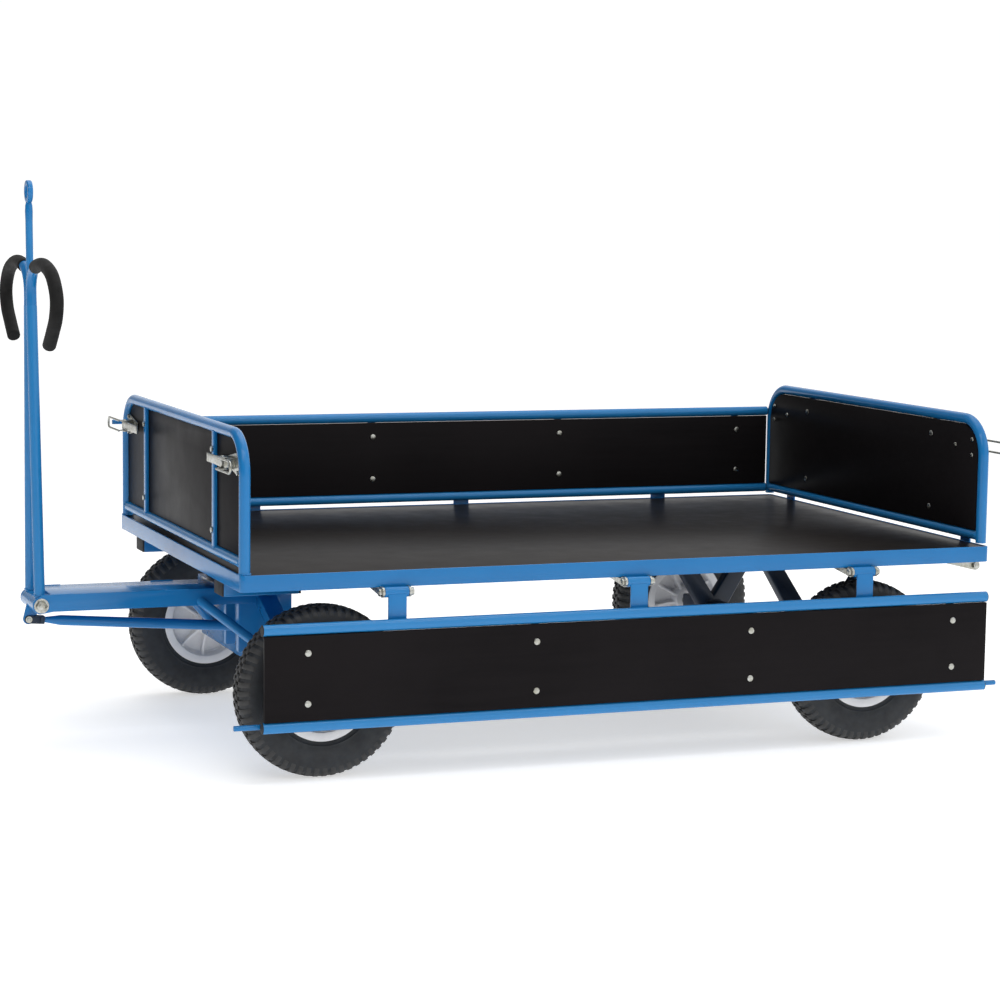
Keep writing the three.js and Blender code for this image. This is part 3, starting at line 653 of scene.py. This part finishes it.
def side_wall(name, side, turn):
    """Folding wall, built upright about its hinge axis and then turned by so many degrees."""
    joint = JOINT[f"side_wall_{name}_fold"]
    place = Matrix.Translation(joint) @ Matrix.Rotation(math.radians(turn), 4, "X")
    low, high, plane = 0.074, 0.304, -0.027      # heights of the two tubes, and their plane
    x0, x1 = FRONT + 0.042 - joint.x, FRONT + 1.968 - joint.x
    bars = [0.008 + x for x in (-0.859, -0.286, 0.286, 0.859)]
    body, rng, tubes = f"side_wall_{name}", random.Random(31 + side), Shells()
    for z in (low, high):
        tubes.take(sweep([(x0, side * plane, z), (x1, side * plane, z)], TUBE, 36))
    for x in bars:
        tubes.take(block((x - BAR_HALF, side * (plane + BAR_IN), low + 0.006),
                         (x + BAR_HALF, side * (plane + BAR_OUT), high - 0.006), 0.0022, 3))
    pin_y = side * (plane + 0.0185)
    for a, b in ((x0 - 0.064, x0 + 0.030), (x1 - 0.025, x1 + 0.047)):
        tubes.take(sweep([(a, pin_y, high), (b, pin_y, high)], 0.0065, 28, rounded=0.001))
    for x in STRAPS:
        hinge_strap(tubes, low, at(x, 0, 0) @ half_turn(side < 0), rng)
    add(body + "_tubes", tubes, "blue_paint", body, [f"side_wall_frame_{name}"], place)
    gap = TUBE + GAP
    board = Shells().take(block((x0 + 0.002, side * (plane + BOARD_IN), low + gap),
                                (x1 - 0.002, side * (plane + BOARD_OUT), high - gap), 0.0007))
    add(body + "_board", board, "wall_board", body, [f"side_wall_panel_{name}"], place)
    bolts = Shells()
    wall_bolts(bolts, [Vector((x, side * plane, z)) for x in bars for z in (0.130, 0.250)],
               Vector((0, side, 0)))
    add(body + "_bolts", bolts, "zinc", body, (), place)
    caps = Shells()
    cap = [(0, -0.006), (TUBE - 0.002, -0.006), (TUBE - 0.002, 0), (TUBE, 0), (TUBE, 0.0010),
           (TUBE - 0.0015, 0.0022), (0, 0.0026)]
    for z in (low, high):
        for x, s in ((x0, -1), (x1, 1)):
            caps.take(turned(cap, "z", 36), facing((x, side * plane, z), (s, 0, 0)))
    add(body + "_caps", caps, "rubber", body, (), place)


def hinge(tag, place):
    """Zinc bracket under the rim, and its bolt."""
    bracket, inner, outer = Shells(), 0.0305, 0.0365
    under = TOP - RIM_HEIGHT - place.translation.z - GAP
    reach, rise = -HINGE_OUT - 0.092, -HINGE_OUT + 0.0005
    outline = [*arc(0, 0, HINGE_LUG, -110, 90, 18), (rise, HINGE_LUG), (rise, under), (reach, under),
               (reach, under - 0.009)]
    for s in (-1, 1):
        bracket.take(plate(outline, "yz", s * inner, s * outer, 0.0006))
    bracket.take(block((-outer, reach, under - 0.004), (outer, -HINGE_OUT - 0.004, under), 0.0005))
    add(f"hinge_lugs_{tag}", bracket, "zinc", "chassis", [f"hinge_bracket_{tag}"], place)
    bolt, face = Shells(), outer + GAP
    bolt.take(turned([(0, -face), (0.006, -face), (0.006, face), (0, face)], "x", 32))
    for s in (-1, 1):
        where = facing((s * face, 0, 0), (s, 0, 0))
        bolt.take(hexagon(0.0098, 0.0012, 0.0068, 0.0008), where)
        bolt.take(turned([(0, 0), (0.0100, 0), (0.0100, 0.0011), (0, 0.0011)], "z", 36), where)
        bolt.take(turned([(0, 0.006), (0.0055, 0.006), (0.0055, 0.0074), (0.0045, 0.008), (0, 0.008)],
                         "z", 28), where)
    add(f"hinge_fastener_{tag}", bolt, "zinc", "chassis", [f"hinge_bolt_{tag}"], place)


def latch(end_name, end, name, side, body):
    """Toggle latch. Local x is outward from the wall board, y is along the wall, outboard."""
    joint = JOINT[f"latch_{end_name}_{name}_swing"]
    place = Matrix.Translation(joint) @ Matrix.Diagonal((end, side, 1, 1))
    back = -0.027 + 0.0013
    tag = f"{end_name}_{name}"
    base = Shells()
    outline = [(-0.042, -0.010), (-0.042, 0.010), (-0.038, 0.0125), (0.044, 0.027), (0.056, 0.027),
               (0.061, 0.020), (0.061, -0.020), (0.056, -0.027), (0.044, -0.027), (-0.038, -0.0125)]
    base.take(plate(outline, "yz", back, back + 0.0035, 0.0007), place)
    lug = [(back, -0.012), (back, 0.018), (0.006, 0.018), (0.0128, 0.012), (0.0134, -0.004),
           (0.009, -0.012)]
    for s in (-1, 1):
        base.take(plate(lug, "xy", s * 0.0118, s * 0.0148, 0.0006), place)
        base.take(dome(0.0058, 0.0024), place @ facing((0, 0, s * 0.0148), (0, 0, s)))
    base.take(sweep([(0, 0, -0.015), (0, 0, 0.015)], 0.004, 24), place)
    for y, z in LATCH_BOLTS:
        base.take(hexagon(0.0062, 0, 0.0042), place @ facing((back + 0.0035, y, z), (1, 0, 0)))
    base.take(block((back + 0.002, 0.020, -0.010), (0.004, 0.026, 0.010), 0.0015), place)
    add(f"latch_plate_{tag}", base, "zinc", body, [f"latch_base_{tag}"])
    bail, tip, h = Shells(), 0.131, 0.014
    loop = [(0.017, 0.004, h), *[(0.017, y, z) for y, z in arc(tip - h, 0, h, 90, -90, 18)],
            (0.017, 0.004, -h)]
    bail.take(sweep(loop, 0.003, 18, rounded=0.0008), place)
    add(f"latch_loop_{tag}", bail, "zinc", body, [f"latch_bail_{tag}"])
    lever = Shells()
    web = [(0.007, 0.008), (0.0045, 0.010), (0.0020, 0.008), (-0.0005, -0.060), (-0.0005, -0.138),
           (0.0012, -0.1418), (0.0030, -0.140), (0.0026, -0.132), (0.0024, -0.060)]
    lever.take(plate(web, "xy", -0.0104, 0.0104, 0.0006), place)
    flange = [(0.0065, 0.0085), (-0.0062, 0.0085), (-0.0064, -0.012), (-0.0028, -0.100), (0.0015, -0.112),
              (0.0022, -0.060)]
    for s in (-1, 1):
        lever.take(plate(flange, "xy", s * 0.0085, s * 0.0105, 0.0005), place)
    lever.take(sweep([(0.0002, -0.1385, -0.0103), (0.0002, -0.1385, 0.0103)], 0.0028, 20), place)
    add(f"latch_handle_{tag}", lever, "zinc", f"latch_{tag}", [f"latch_lever_{tag}"])


def walls():
    inset = 0.015
    end_wall("front_wall", FRONT + inset, -1, "chassis", TOP + GAP)
    axis = JOINT["rear_wall_fold"]
    places = {f"rear_{i}": at(axis.x, y, axis.z) @ Matrix.Rotation(-math.pi / 2, 4, "Z")
              for i, y in ((1, -0.500), (2, 0.500))}

    def straps(shells, rng):
        for place in places.values():
            hinge_strap(shells, RAIL - axis.z, place, rng)

    end_wall("rear_wall", REAR - inset, 1, "rear_wall", TOP + 0.007, straps)
    for tag, place in places.items():
        hinge(tag, place)
    for name, side in SIDES:
        side_wall(name, side, 180 if name == "left" else 0)
        joint = JOINT[f"side_wall_{name}_fold"]
        for i, x in enumerate(STRAPS):
            hinge(f"{name}_{i + 1}", at(joint.x + x, joint.y, joint.z) @ half_turn(side < 0))
        latch("front", -1, name, side, "chassis")
        latch("rear", 1, name, side, "rear_wall")


# ---- wheels

def tyre_mesh():
    """Carcass with a smooth crown and four rows of tread blocks, about the Y axis."""
    side = [(0.112, -0.034), (0.1165, -0.0385), (0.124, -0.0405), (0.131, -0.0432), (0.146, -0.0462),
            (0.160, -0.0470), (0.174, -0.0465), (0.186, -0.0440), (0.195, -0.0392), (0.2008, -0.028),
            (0.2030, -0.012), (0.2035, 0)]
    curve = spline([(r, y, 0) for r, y in side], 4)
    left = [(p.x, p.y) for p in curve]
    ridges = [(r + (0.0009 if 0.127 < r < 0.1285 else 0), y - (0.0008 if 0.127 < r < 0.1295 else 0))
              for r, y in left]
    right = [(r, -y) for r, y in reversed(ridges[:-1])]
    profile = [*ridges, *right]
    carcass = Shells()
    carcass.take(turned([(r, -y) for r, y in profile], "y", 160))
    pitches = 58
    step = 2 * math.pi / pitches
    skew = 0.16 * step
    crown = [(0.2078, 0.0016), (0.2078, 0.0090), (0.2073, 0.0150)]
    shoulder = [(0.2068, 0.0188), (0.2056, 0.0255), (0.2022, 0.0330), (0.1966, 0.0395),
                (0.1895, 0.0438), (0.1830, 0.0456)]
    for s in (-1, 1):
        for k in range(pitches):
            inner, outer = (0.5, 0.22) if s > 0 else (0, 0.72)
            carcass.take(tread_block(crown, s, (k + inner) * step, 0.70 * step, skew))
            carcass.take(tread_block(shoulder, s, (k + outer) * step, 0.62 * step, -skew))
    return carcass.mesh("pneumatic_tyre", 40)


def tread_block(path, side, angle, width, skew):
    """One rubber block, raised over the carcass along a run of (radius, |y|) points."""
    bm = bmesh.new()
    root = 0.0055
    grid = []
    for i, (r, y) in enumerate(path):
        shift = skew * i / (len(path) - 1)
        ease = 0.0007 if i in (0, len(path) - 1) else 0
        row = []
        for u, drop in ((-0.5, root), (-0.47, 0.0004 + ease), (-0.43, ease), (0.43, ease),
                        (0.47, 0.0004 + ease), (0.5, root)):
            a = angle + shift + width * u
            rr = r - drop
            inner_y = y - (drop * 0.5 if r < 0.2 else 0)
            row.append(bm.verts.new((rr * math.cos(a), side * inner_y, rr * math.sin(a))))
        grid.append(row)
    for a, b in zip(grid, grid[1:]):
        for j in range(len(a) - 1):
            bm.faces.new((a[j], a[j + 1], b[j + 1], b[j]))
        bm.faces.new((a[-1], a[0], b[0], b[-1]))
    bm.faces.new(grid[0])
    bm.faces.new(grid[-1])
    bmesh.ops.recalc_face_normals(bm, faces=bm.faces)
    return bm


def rim_mesh():
    """Cast rim about the Y axis: bead seats, a recessed web and ribs on both faces."""
    bore, seat, web, ribs = 0.0129, 0.1108, 0.0095, 9
    half_profile = [(bore, 0.050), (0.0275, 0.050), (0.0295, 0.0485), (0.031, 0.030), (0.034, 0.014),
                    (0.040, web + 0.0015), (0.086, web), (0.0915, 0.013), (0.0945, 0.034),
                    (0.0975, 0.0405), (0.1020, 0.0418), (0.1160, 0.0418), (0.1180, 0.0400),
                    (0.1172, 0.0372), (0.1125, 0.0352), (seat, 0.034)]
    profile = [*half_profile, *[(r, -y) for r, y in reversed(half_profile)]]
    rim = Shells().take(turned(profile, "y", 120))
    for k in range(ribs):
        for s in (-1, 1):
            turn = Matrix.Rotation(2 * math.pi * (k + (0.5 if s > 0 else 0)) / ribs, 4, "Y")
            outline = [(0.029, 0.005), (0.029, 0.0435), (0.036, 0.0425), (0.062, 0.031), (0.086, 0.0295),
                       (0.0955, 0.0345), (0.0955, 0.005)]
            rib = plate([(x, s * y) for x, y in outline], "xy", -0.0036, 0.0036, 0.0013)
            rim.take(rib, turn)
    collar = [(0.0290, 0.0500), (0.0330, 0.0440), (0.0360, 0.0300), (0.0360, 0.008), (0.0290, 0.008)]
    for s in (-1, 1):
        rim.take(turned([(r, s * y) for r, y in collar], "y", 96))
    return rim.mesh("cast_rim", 32)


def valve_mesh():
    valve = Shells()
    profile = [(0, 0), (0.0060, 0), (0.0060, 0.004), (0.0042, 0.008), (0.0040, 0.020), (0.0046, 0.0206),
               (0.0046, 0.028), (0.0036, 0.0295), (0, 0.0295)]
    lean = Matrix.Rotation(math.radians(24), 4, "X")
    valve.take(turned(profile, "z", 24), at(0, -0.020, -0.0905) @ lean)
    return valve.mesh("tyre_valve")


def shaft(node, body, axle):
    """Axle shaft with a washer, a hexagon nut and a thread at each end."""
    piece, radius, nut = Shells(), 0.0125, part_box(node)[1].y - 0.013
    piece.take(sweep([(axle.x, -nut, axle.z), (axle.x, nut, axle.z)], radius, 40))
    for s in (-1, 1):
        where = facing((axle.x, s * nut, axle.z), (0, s, 0))
        piece.take(turned([(0, -0.001), (0.0178, -0.001), (0.0178, 0.001), (0.0174, 0.0014), (0, 0.0014)],
                          "z", 44), where)
        piece.take(hexagon(0.0176, 0.0012, 0.0100, 0.0010), where)
        piece.take(turned([(0, 0.009), (0.0085, 0.009), (0.0085, 0.0118), (0.0072, 0.0130), (0, 0.0130)],
                          "z", 32), where)
    add(node + "_turned", piece, "zinc", body, [node])


def wheels():
    tyre, rim, valve = tyre_mesh(), rim_mesh(), valve_mesh()
    # Degrees that each wheel is rolled, so that the valves and the tread do not line up
    turns = {"front_left": 12, "front_right": -25, "rear_left": 61, "rear_right": 128}
    for end in ("front", "rear"):
        for name, side in SIDES:
            tag = f"{end}_{name}"
            hub = JOINT[f"wheel_{tag}_spin"]
            place = (Matrix.Translation(hub) @ Matrix.Rotation(math.radians(turns[tag]), 4, "Y")
                     @ half_turn(side > 0))
            add(f"pneumatic_tyre_{tag}", tyre, "tyre", f"wheel_{tag}", [f"tyre_{tag}"], place)
            add(f"cast_rim_{tag}", rim, "rim", f"wheel_{tag}", [f"rim_{tag}"], place)
            add(f"valve_{tag}", valve, "rubber", f"wheel_{tag}", (), place)
    shaft("front_axle_shaft", "bogie", FRONT_AXLE)
    shaft("rear_axle_shaft", "chassis", REAR_AXLE)


# ---- axles and bogie

BEAM_HALF, BEAM = 0.470, 0.025        # half the length and half the width of both axle beams


def axle_beam(shells, axle):
    """Square beam with a raised ring at each end, which the hub's collar runs against."""
    shells.take(block((axle.x - BEAM, -BEAM_HALF, axle.z - BEAM), (axle.x + BEAM, BEAM_HALF, axle.z + BEAM),
                      0.004, 3))
    ring = [(0.0131, 0), (0.021, 0), (0.022, 0.001), (0.022, 0.004), (0.021, 0.005), (0.0131, 0.005)]
    for s in (-1, 1):
        shells.take(turned(ring, "z", 40), facing((axle.x, s * (BEAM_HALF - 0.005), axle.z), (0, s, 0)))


def rear_axle():
    """Rear beam on V-shaped hangers with feet under the deck."""
    rng, beam = random.Random(41), Shells()
    x, z = REAR_AXLE.x, REAR_AXLE.z
    axle_beam(beam, REAR_AXLE)
    top = TOP - RIM_HEIGHT - GAP - z
    spread, foot, arm, half = 0.165, 0.026, 0.025, 0.018
    outline = [(-foot, -0.020), (foot, -0.020), (spread + arm, top), (spread - arm, top), (0, 0.040),
               (-spread + arm, top), (-spread - arm, top)]
    for s in (-1, 1):
        y = s * 0.330
        beam.take(plate([(x + a, z + b) for a, b in outline], "xz", y - half, y + half, 0.0045, 3))
        for edge in (y - half, y + half):
            weld_line(beam, (x - 0.024, edge, z + BEAM), (x + 0.024, edge, z + BEAM), 0.003, rng)
        for pad in (x - spread, x + spread):
            beam.take(block((pad - 0.034, y - 0.024, z + top - 0.004), (pad + 0.034, y + 0.024, z + top),
                            0.0008))
    add("rear_axle_weldment", beam, "dark_steel", "chassis", ["rear_axle_frame"])


def bogie():
    """Front beam, braces, head plate and drawbar arm in one weldment, pivot bolt and stop."""
    rng, arm = random.Random(43), Shells()
    cx, z = FRONT_AXLE.x, FRONT_AXLE.z
    half, low, high, sheet = ARM["half"], ARM["bottom"], ARM["top"], ARM["plate"]
    axle_beam(arm, FRONT_AXLE)
    nose = 0.0214
    for s in (-1, 1):
        outline = [(cx + 0.040, low), (cx + 0.040, high), (PIVOT.x + 0.004, high),
                   (PIVOT.x - 0.004, PIVOT.z + 0.0226),
                   *[(PIVOT.x + x, PIVOT.z + y) for x, y in arc(0, 0, nose, 112, 262, 20)],
                   (PIVOT.x + 0.004, low - 0.004), (PIVOT.x + 0.030, low)]
        arm.take(plate(outline, "xz", s * (half - sheet), s * half, 0.0012))
        arm.take(block((cx - 0.070, s * 0.045, z + 0.015), (cx + 0.070, s * (half - 0.0022), high - 0.002),
                       0.002))
        brace = [(s * 0.060, high - 0.004), (s * 0.060, high - 0.044), (s * 0.400, z + 0.012),
                 (s * 0.452, z + 0.012)]
        arm.take(plate(brace, "yz", cx - 0.024, cx + 0.024, 0.003))
        rod = [(cx - 0.170, s * 0.074, low + 0.012), (cx - 0.006, s * 0.400, z + 0.008)]
        arm.take(sweep(rod, 0.012, 28))
        for x0, x1 in ((PIVOT.x + 0.030, PIVOT.x + 0.080), (cx - 0.260, cx - 0.200)):
            seam = s * (half - 0.001), high - 0.0005
            weld_line(arm, (x0, *seam), (x1, *seam), 0.0016, rng)
    arm.take(block((cx - 0.125, -0.120, high - 0.006), (cx + 0.125, 0.120, 0.400 - GAP), 0.001))
    arm.take(block((PIVOT.x + 0.025, -half + 0.0006, high - sheet), (cx + 0.060, half - 0.0006, high),
                   0.0012))
    add("bogie_weldment", arm, "blue_paint", "bogie", ["bogie_frame"])
    bolt = Shells()
    face = half + GAP
    bolt.take(sweep([(PIVOT.x, -face, PIVOT.z), (PIVOT.x, face, PIVOT.z)], 0.008, 32))
    for s in (-1, 1):
        nut_stack(bolt, (PIVOT.x, s * face, PIVOT.z), (0, s, 0), 0.0138, 0.0185, 0.0085, 0.0078, 0.0036)
    add("drawbar_pivot_fastener", bolt, "zinc", "bogie", ["drawbar_pivot_bolt"])
    lo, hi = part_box("drawbar_stop")
    stop = Shells().take(block(lo, hi, 0.0024, 4))
    add("drawbar_buffer", stop, "rubber", "bogie", ["drawbar_stop"])


# ---- drawbar and brake rod

HOOP = ((0.015, 0.735), (0.017, 0.790), (0.048, 0.823), (0.115, 0.839), (0.200, 0.838),
        (0.286, 0.812), (0.328, 0.764), (0.315, 0.721), (0.276, 0.686), (0.234, 0.654))
GRIP_START = 0.222            # where the sleeve begins, as a share of the hoop's length


def along(points, share):
    """Index of the point at a share of the line's length."""
    lengths = [0.0]
    for a, b in zip(points, points[1:]):
        lengths.append(lengths[-1] + (b - a).length)
    return next(i for i, v in enumerate(lengths) if v >= share * lengths[-1])


def tow_eye(shells, place):
    """Ring with rounded edges, its hole facing forward, on a tapering neck."""
    outer, hole, half, rounding = 0.028, 0.015, 0.0065, 0.0026
    near, far, flat = hole + rounding, outer - rounding, half - rounding
    section = [*arc(far, flat, rounding, 0, 90, 5), *arc(near, flat, rounding, 90, 180, 5),
               *arc(near, -flat, rounding, 180, 270, 5), *arc(far, -flat, rounding, 270, 360, 5)]
    shells.take(turned(section, "x", 72), place @ at(0, 0, EYE_HEIGHT))
    neck = [(0, 0, EYE_HEIGHT - drop) for drop in (0.075, 0.048, 0.034, 0.022)]
    shells.take(sweep(neck, [0.009, 0.0096, 0.0088, 0.0062], 28), place)


def drawbar():
    """Two tubes with hand loops and grips, the tow bar and its eye, and the brake lug."""
    place = Matrix.Translation(PIVOT) @ Matrix.Rotation(-math.radians(LEAN), 4, "Y")
    rng, bar = random.Random(47), Shells()
    inner = ARM["half"] - ARM["plate"] - GAP
    for name, s in SIDES:
        hoop = spline([(0, s * y, z) for y, z in HOOP], 10)
        bar.take(sweep([(0, s * 0.060, 0.008), (0, s * 0.015, 0.737)], TUBE, 36), place)
        bar.take(sweep(hoop, TUBE - 0.0005, 32), place)
        start = along(hoop, GRIP_START)
        tip = hoop[-1] + (hoop[-1] - hoop[-2]).normalized() * 0.0078
        sleeve = Shells().take(sweep([*hoop[start:], tip], 0.0165, 40, rounded=0.003), place)
        add(f"foam_sleeve_{name}", sleeve, "foam", "drawbar", [f"grip_{name}"])
        weld_ring(bar, place @ Vector((0, s * 0.0588, 0.0235)),
                  place.to_3x3() @ Vector((0, s * -0.045, 0.729)).normalized(), TUBE, 0.0021, rng)
    ends = [(0, -inner), (0.0185, -inner), (0.0210, -inner + 0.0015), (0.0210, inner - 0.0015),
            (0.0185, inner), (0, inner)]
    bar.take(turned(ends, "y", 56), place)
    bar.take(sweep([(0, 0, 0.745), (0, 0, EYE_HEIGHT - 0.070)], 0.009, 32), place)
    bar.take(block((-0.006, -0.016, 0.700), (0.006, 0.016, 0.800), 0.0015), place)
    tow_eye(bar, place)
    for s in (-1, 1):
        low, high = (place @ Vector((0.0062, s * 0.0150, z)) for z in (0.704, 0.790))
        weld_line(bar, low, high, 0.0018, rng)
    weld_ring(bar, place @ Vector((0, 0, 0.800)), place.to_3x3() @ Vector((0, 0, 1)), 0.009, 0.0019, rng)
    to_pin = math.degrees(math.atan2(LUG_PIN.z, LUG_PIN.x))
    lug = [*arc(LUG_PIN.x, LUG_PIN.z, 0.0128, to_pin - 90, to_pin + 90, 18), (0.018, -0.006),
           (-0.018, 0.006)]
    bar.take(plate(lug, "xz", -0.005, 0.005, 0.001), place)
    add("drawbar_weldment", bar, "blue_paint", "drawbar", ["drawbar_frame"])


def brake_rod():
    """Fork on the drawbar's brake pin, and the rod behind it."""
    pin = JOINT["pull_rod_swing"]
    place = Matrix.Translation(pin) @ Matrix.Rotation(math.radians(ROD_FALL), 4, "Y")
    fork = Shells()
    cheek = [*arc(0, 0, 0.0102, 90, 270, 14), (0.030, -0.010), (0.030, 0.010)]
    for s in (-1, 1):
        fork.take(plate(cheek, "xz", s * 0.0054, s * 0.011, 0.0009), place)
    fork.take(block((0.026, -0.011, -0.010), (0.040, 0.011, 0.010), 0.0015), place)
    add("brake_fork", fork, "dark_steel", "pull_rod", ["brake_clevis"])
    clip = Shells()
    clip.take(sweep([(0, -0.0148, 0), (0, 0.0148, 0)], 0.005, 28, rounded=0.0008), place)
    for s in (-1, 1):
        clip.take(turned([(0.0046, 0), (0.0082, 0), (0.0082, 0.0012), (0.0046, 0.0012)], "z", 32),
                  place @ facing((0, s * 0.0116, 0), (0, s, 0)))
    add("brake_fork_pin", clip, "zinc", "pull_rod")
    length, radius, start = 0.590, 0.013, 0.0404
    points = [(start, 0, 0), (start + 0.004, 0, 0), (start + 0.040, 0, 0), (start + 0.048, 0, 0),
              (length, 0, 0)]
    rod = Shells().take(sweep(points, [0.0068, 0.0074, radius - 0.0002, radius, radius], 36), place)
    add("brake_tension_rod", rod, "blue_paint", "pull_rod", ["brake_pull_rod"])


# ---- floor, light and camera

def floor_material():
    n = Nodes("pale_floor", Specular_IOR_Level=0.0, Emission_Strength=0.54)
    n.shader.inputs["Emission Color"].default_value = (1.0, 1.0, 1.0, 1)
    colour = n.ramp(n.noise(0.6, 4), [(0.3, (0.86, 0.86, 0.86)), (0.7, (0.88, 0.88, 0.88))])
    return n.done(colour, n.spread(n.noise(3, 3), 0.75, 0.9))


# Brightness of the studio from the front end (0) to the rear end (1) of the truck
SKY = ((0.0, 0.16), (0.36, 0.20), (0.53, 1.0), (0.80, 1.0), (1.0, 0.45))
SKY_STRENGTH = 1.02


def stage():
    mesh = bpy.data.meshes.new("floor")
    reach, steps = 60.0, 64
    bm = bmesh.new()
    bm.faces.new([bm.verts.new((x, y, 0)) for x, y in arc(0, 0, reach, 0, 360 - 360 / steps, steps - 1)])
    bm.to_mesh(mesh)
    bm.free()
    floor = bpy.data.objects.new("floor", mesh)
    mesh.materials.append(floor_material())
    scene.collection.objects.link(floor)
    scene.world = studio_light()


def studio_light():
    """White all round to the eye, but it lights the truck less from its front and rear ends."""
    world = bpy.data.worlds.new("studio")
    world.use_nodes = True
    tree = world.node_tree
    split = new_node(tree, "ShaderNodeSeparateXYZ")
    share = new_node(tree, "ShaderNodeMapRange")
    share.inputs["From Min"].default_value = -1.0
    shade = new_node(tree, "ShaderNodeFloatCurve")
    curve = shade.mapping.curves[0]
    for place, value in SKY[1:-1]:
        curve.points.new(place, value)
    for point, (place, value) in zip(curve.points, SKY):
        point.location = (place, value)
        point.handle_type = "VECTOR"
    shade.mapping.update()
    seen = new_node(tree, "ShaderNodeMath", operation="MAXIMUM")
    strength = new_node(tree, "ShaderNodeMath", operation="MULTIPLY")
    strength.inputs[1].default_value = SKY_STRENGTH
    background = tree.nodes["Background"]
    background.inputs["Color"].default_value = (1.0, 1.0, 1.0, 1)
    for source, target in (
        (new_node(tree, "ShaderNodeTexCoord").outputs["Generated"], split.inputs["Vector"]),
        (split.outputs["X"], share.inputs["Value"]),
        (share.outputs["Result"], shade.inputs["Value"]),
        (shade.outputs["Value"], seen.inputs[0]),
        (new_node(tree, "ShaderNodeLightPath").outputs["Is Camera Ray"], seen.inputs[1]),
        (seen.outputs["Value"], strength.inputs[0]),
        (strength.outputs["Value"], background.inputs["Strength"]),
    ):
        tree.links.new(source, target)
    return world


def lamp(name, place, target, size, power):
    data = bpy.data.lights.new(name, "AREA")
    data.shape = "RECTANGLE"
    data.size, data.size_y = size
    data.energy = power
    light = bpy.data.objects.new(name, data)
    direction = Vector(target) - Vector(place)
    light.matrix_world = Matrix.Translation(place) @ direction.to_track_quat("-Z", "Y").to_matrix().to_4x4()
    scene.collection.objects.link(light)


def lights():
    middle = (MID, 0, TOP)
    lamp("key_softbox", (-2.6, -3.4, 4.2), middle, (3.0, 2.4), 45)
    lamp("top_softbox", (MID, 0.4, 4.6), middle, (4.0, 3.0), 50)
    lamp("strip_softbox", (MID - 0.4, -2.3, 3.5), middle, (3.4, 0.24), 15)
    lamp("fill_softbox", (4.2, -2.6, 2.6), middle, (2.4, 2.0), 12)


def camera():
    """Three-quarter view from the truck's left front, at eye height."""
    data = bpy.data.cameras.new("camera")
    data.sensor_width = 36.0
    data.lens = 94.235
    heading, pitch, roll = 20.962, -6.5365, 0.7565
    turn = (Matrix.Rotation(math.radians(-heading), 4, "Z")
            @ Matrix.Rotation(math.radians(90 + pitch), 4, "X")
            @ Matrix.Rotation(math.radians(roll), 4, "Z"))
    eye = bpy.data.objects.new("camera", data)
    eye.matrix_world = Matrix.Translation((-2.4047, -6.4458, 1.3737)) @ turn
    scene.collection.objects.link(eye)
    scene.camera = eye


camera()
scene.view_settings.view_transform = "Standard"
deck()
turntable()
walls()
wheels()
rear_axle()
bogie()
drawbar()
brake_rod()
stage()
lights()

bpy.context.view_layer.update()
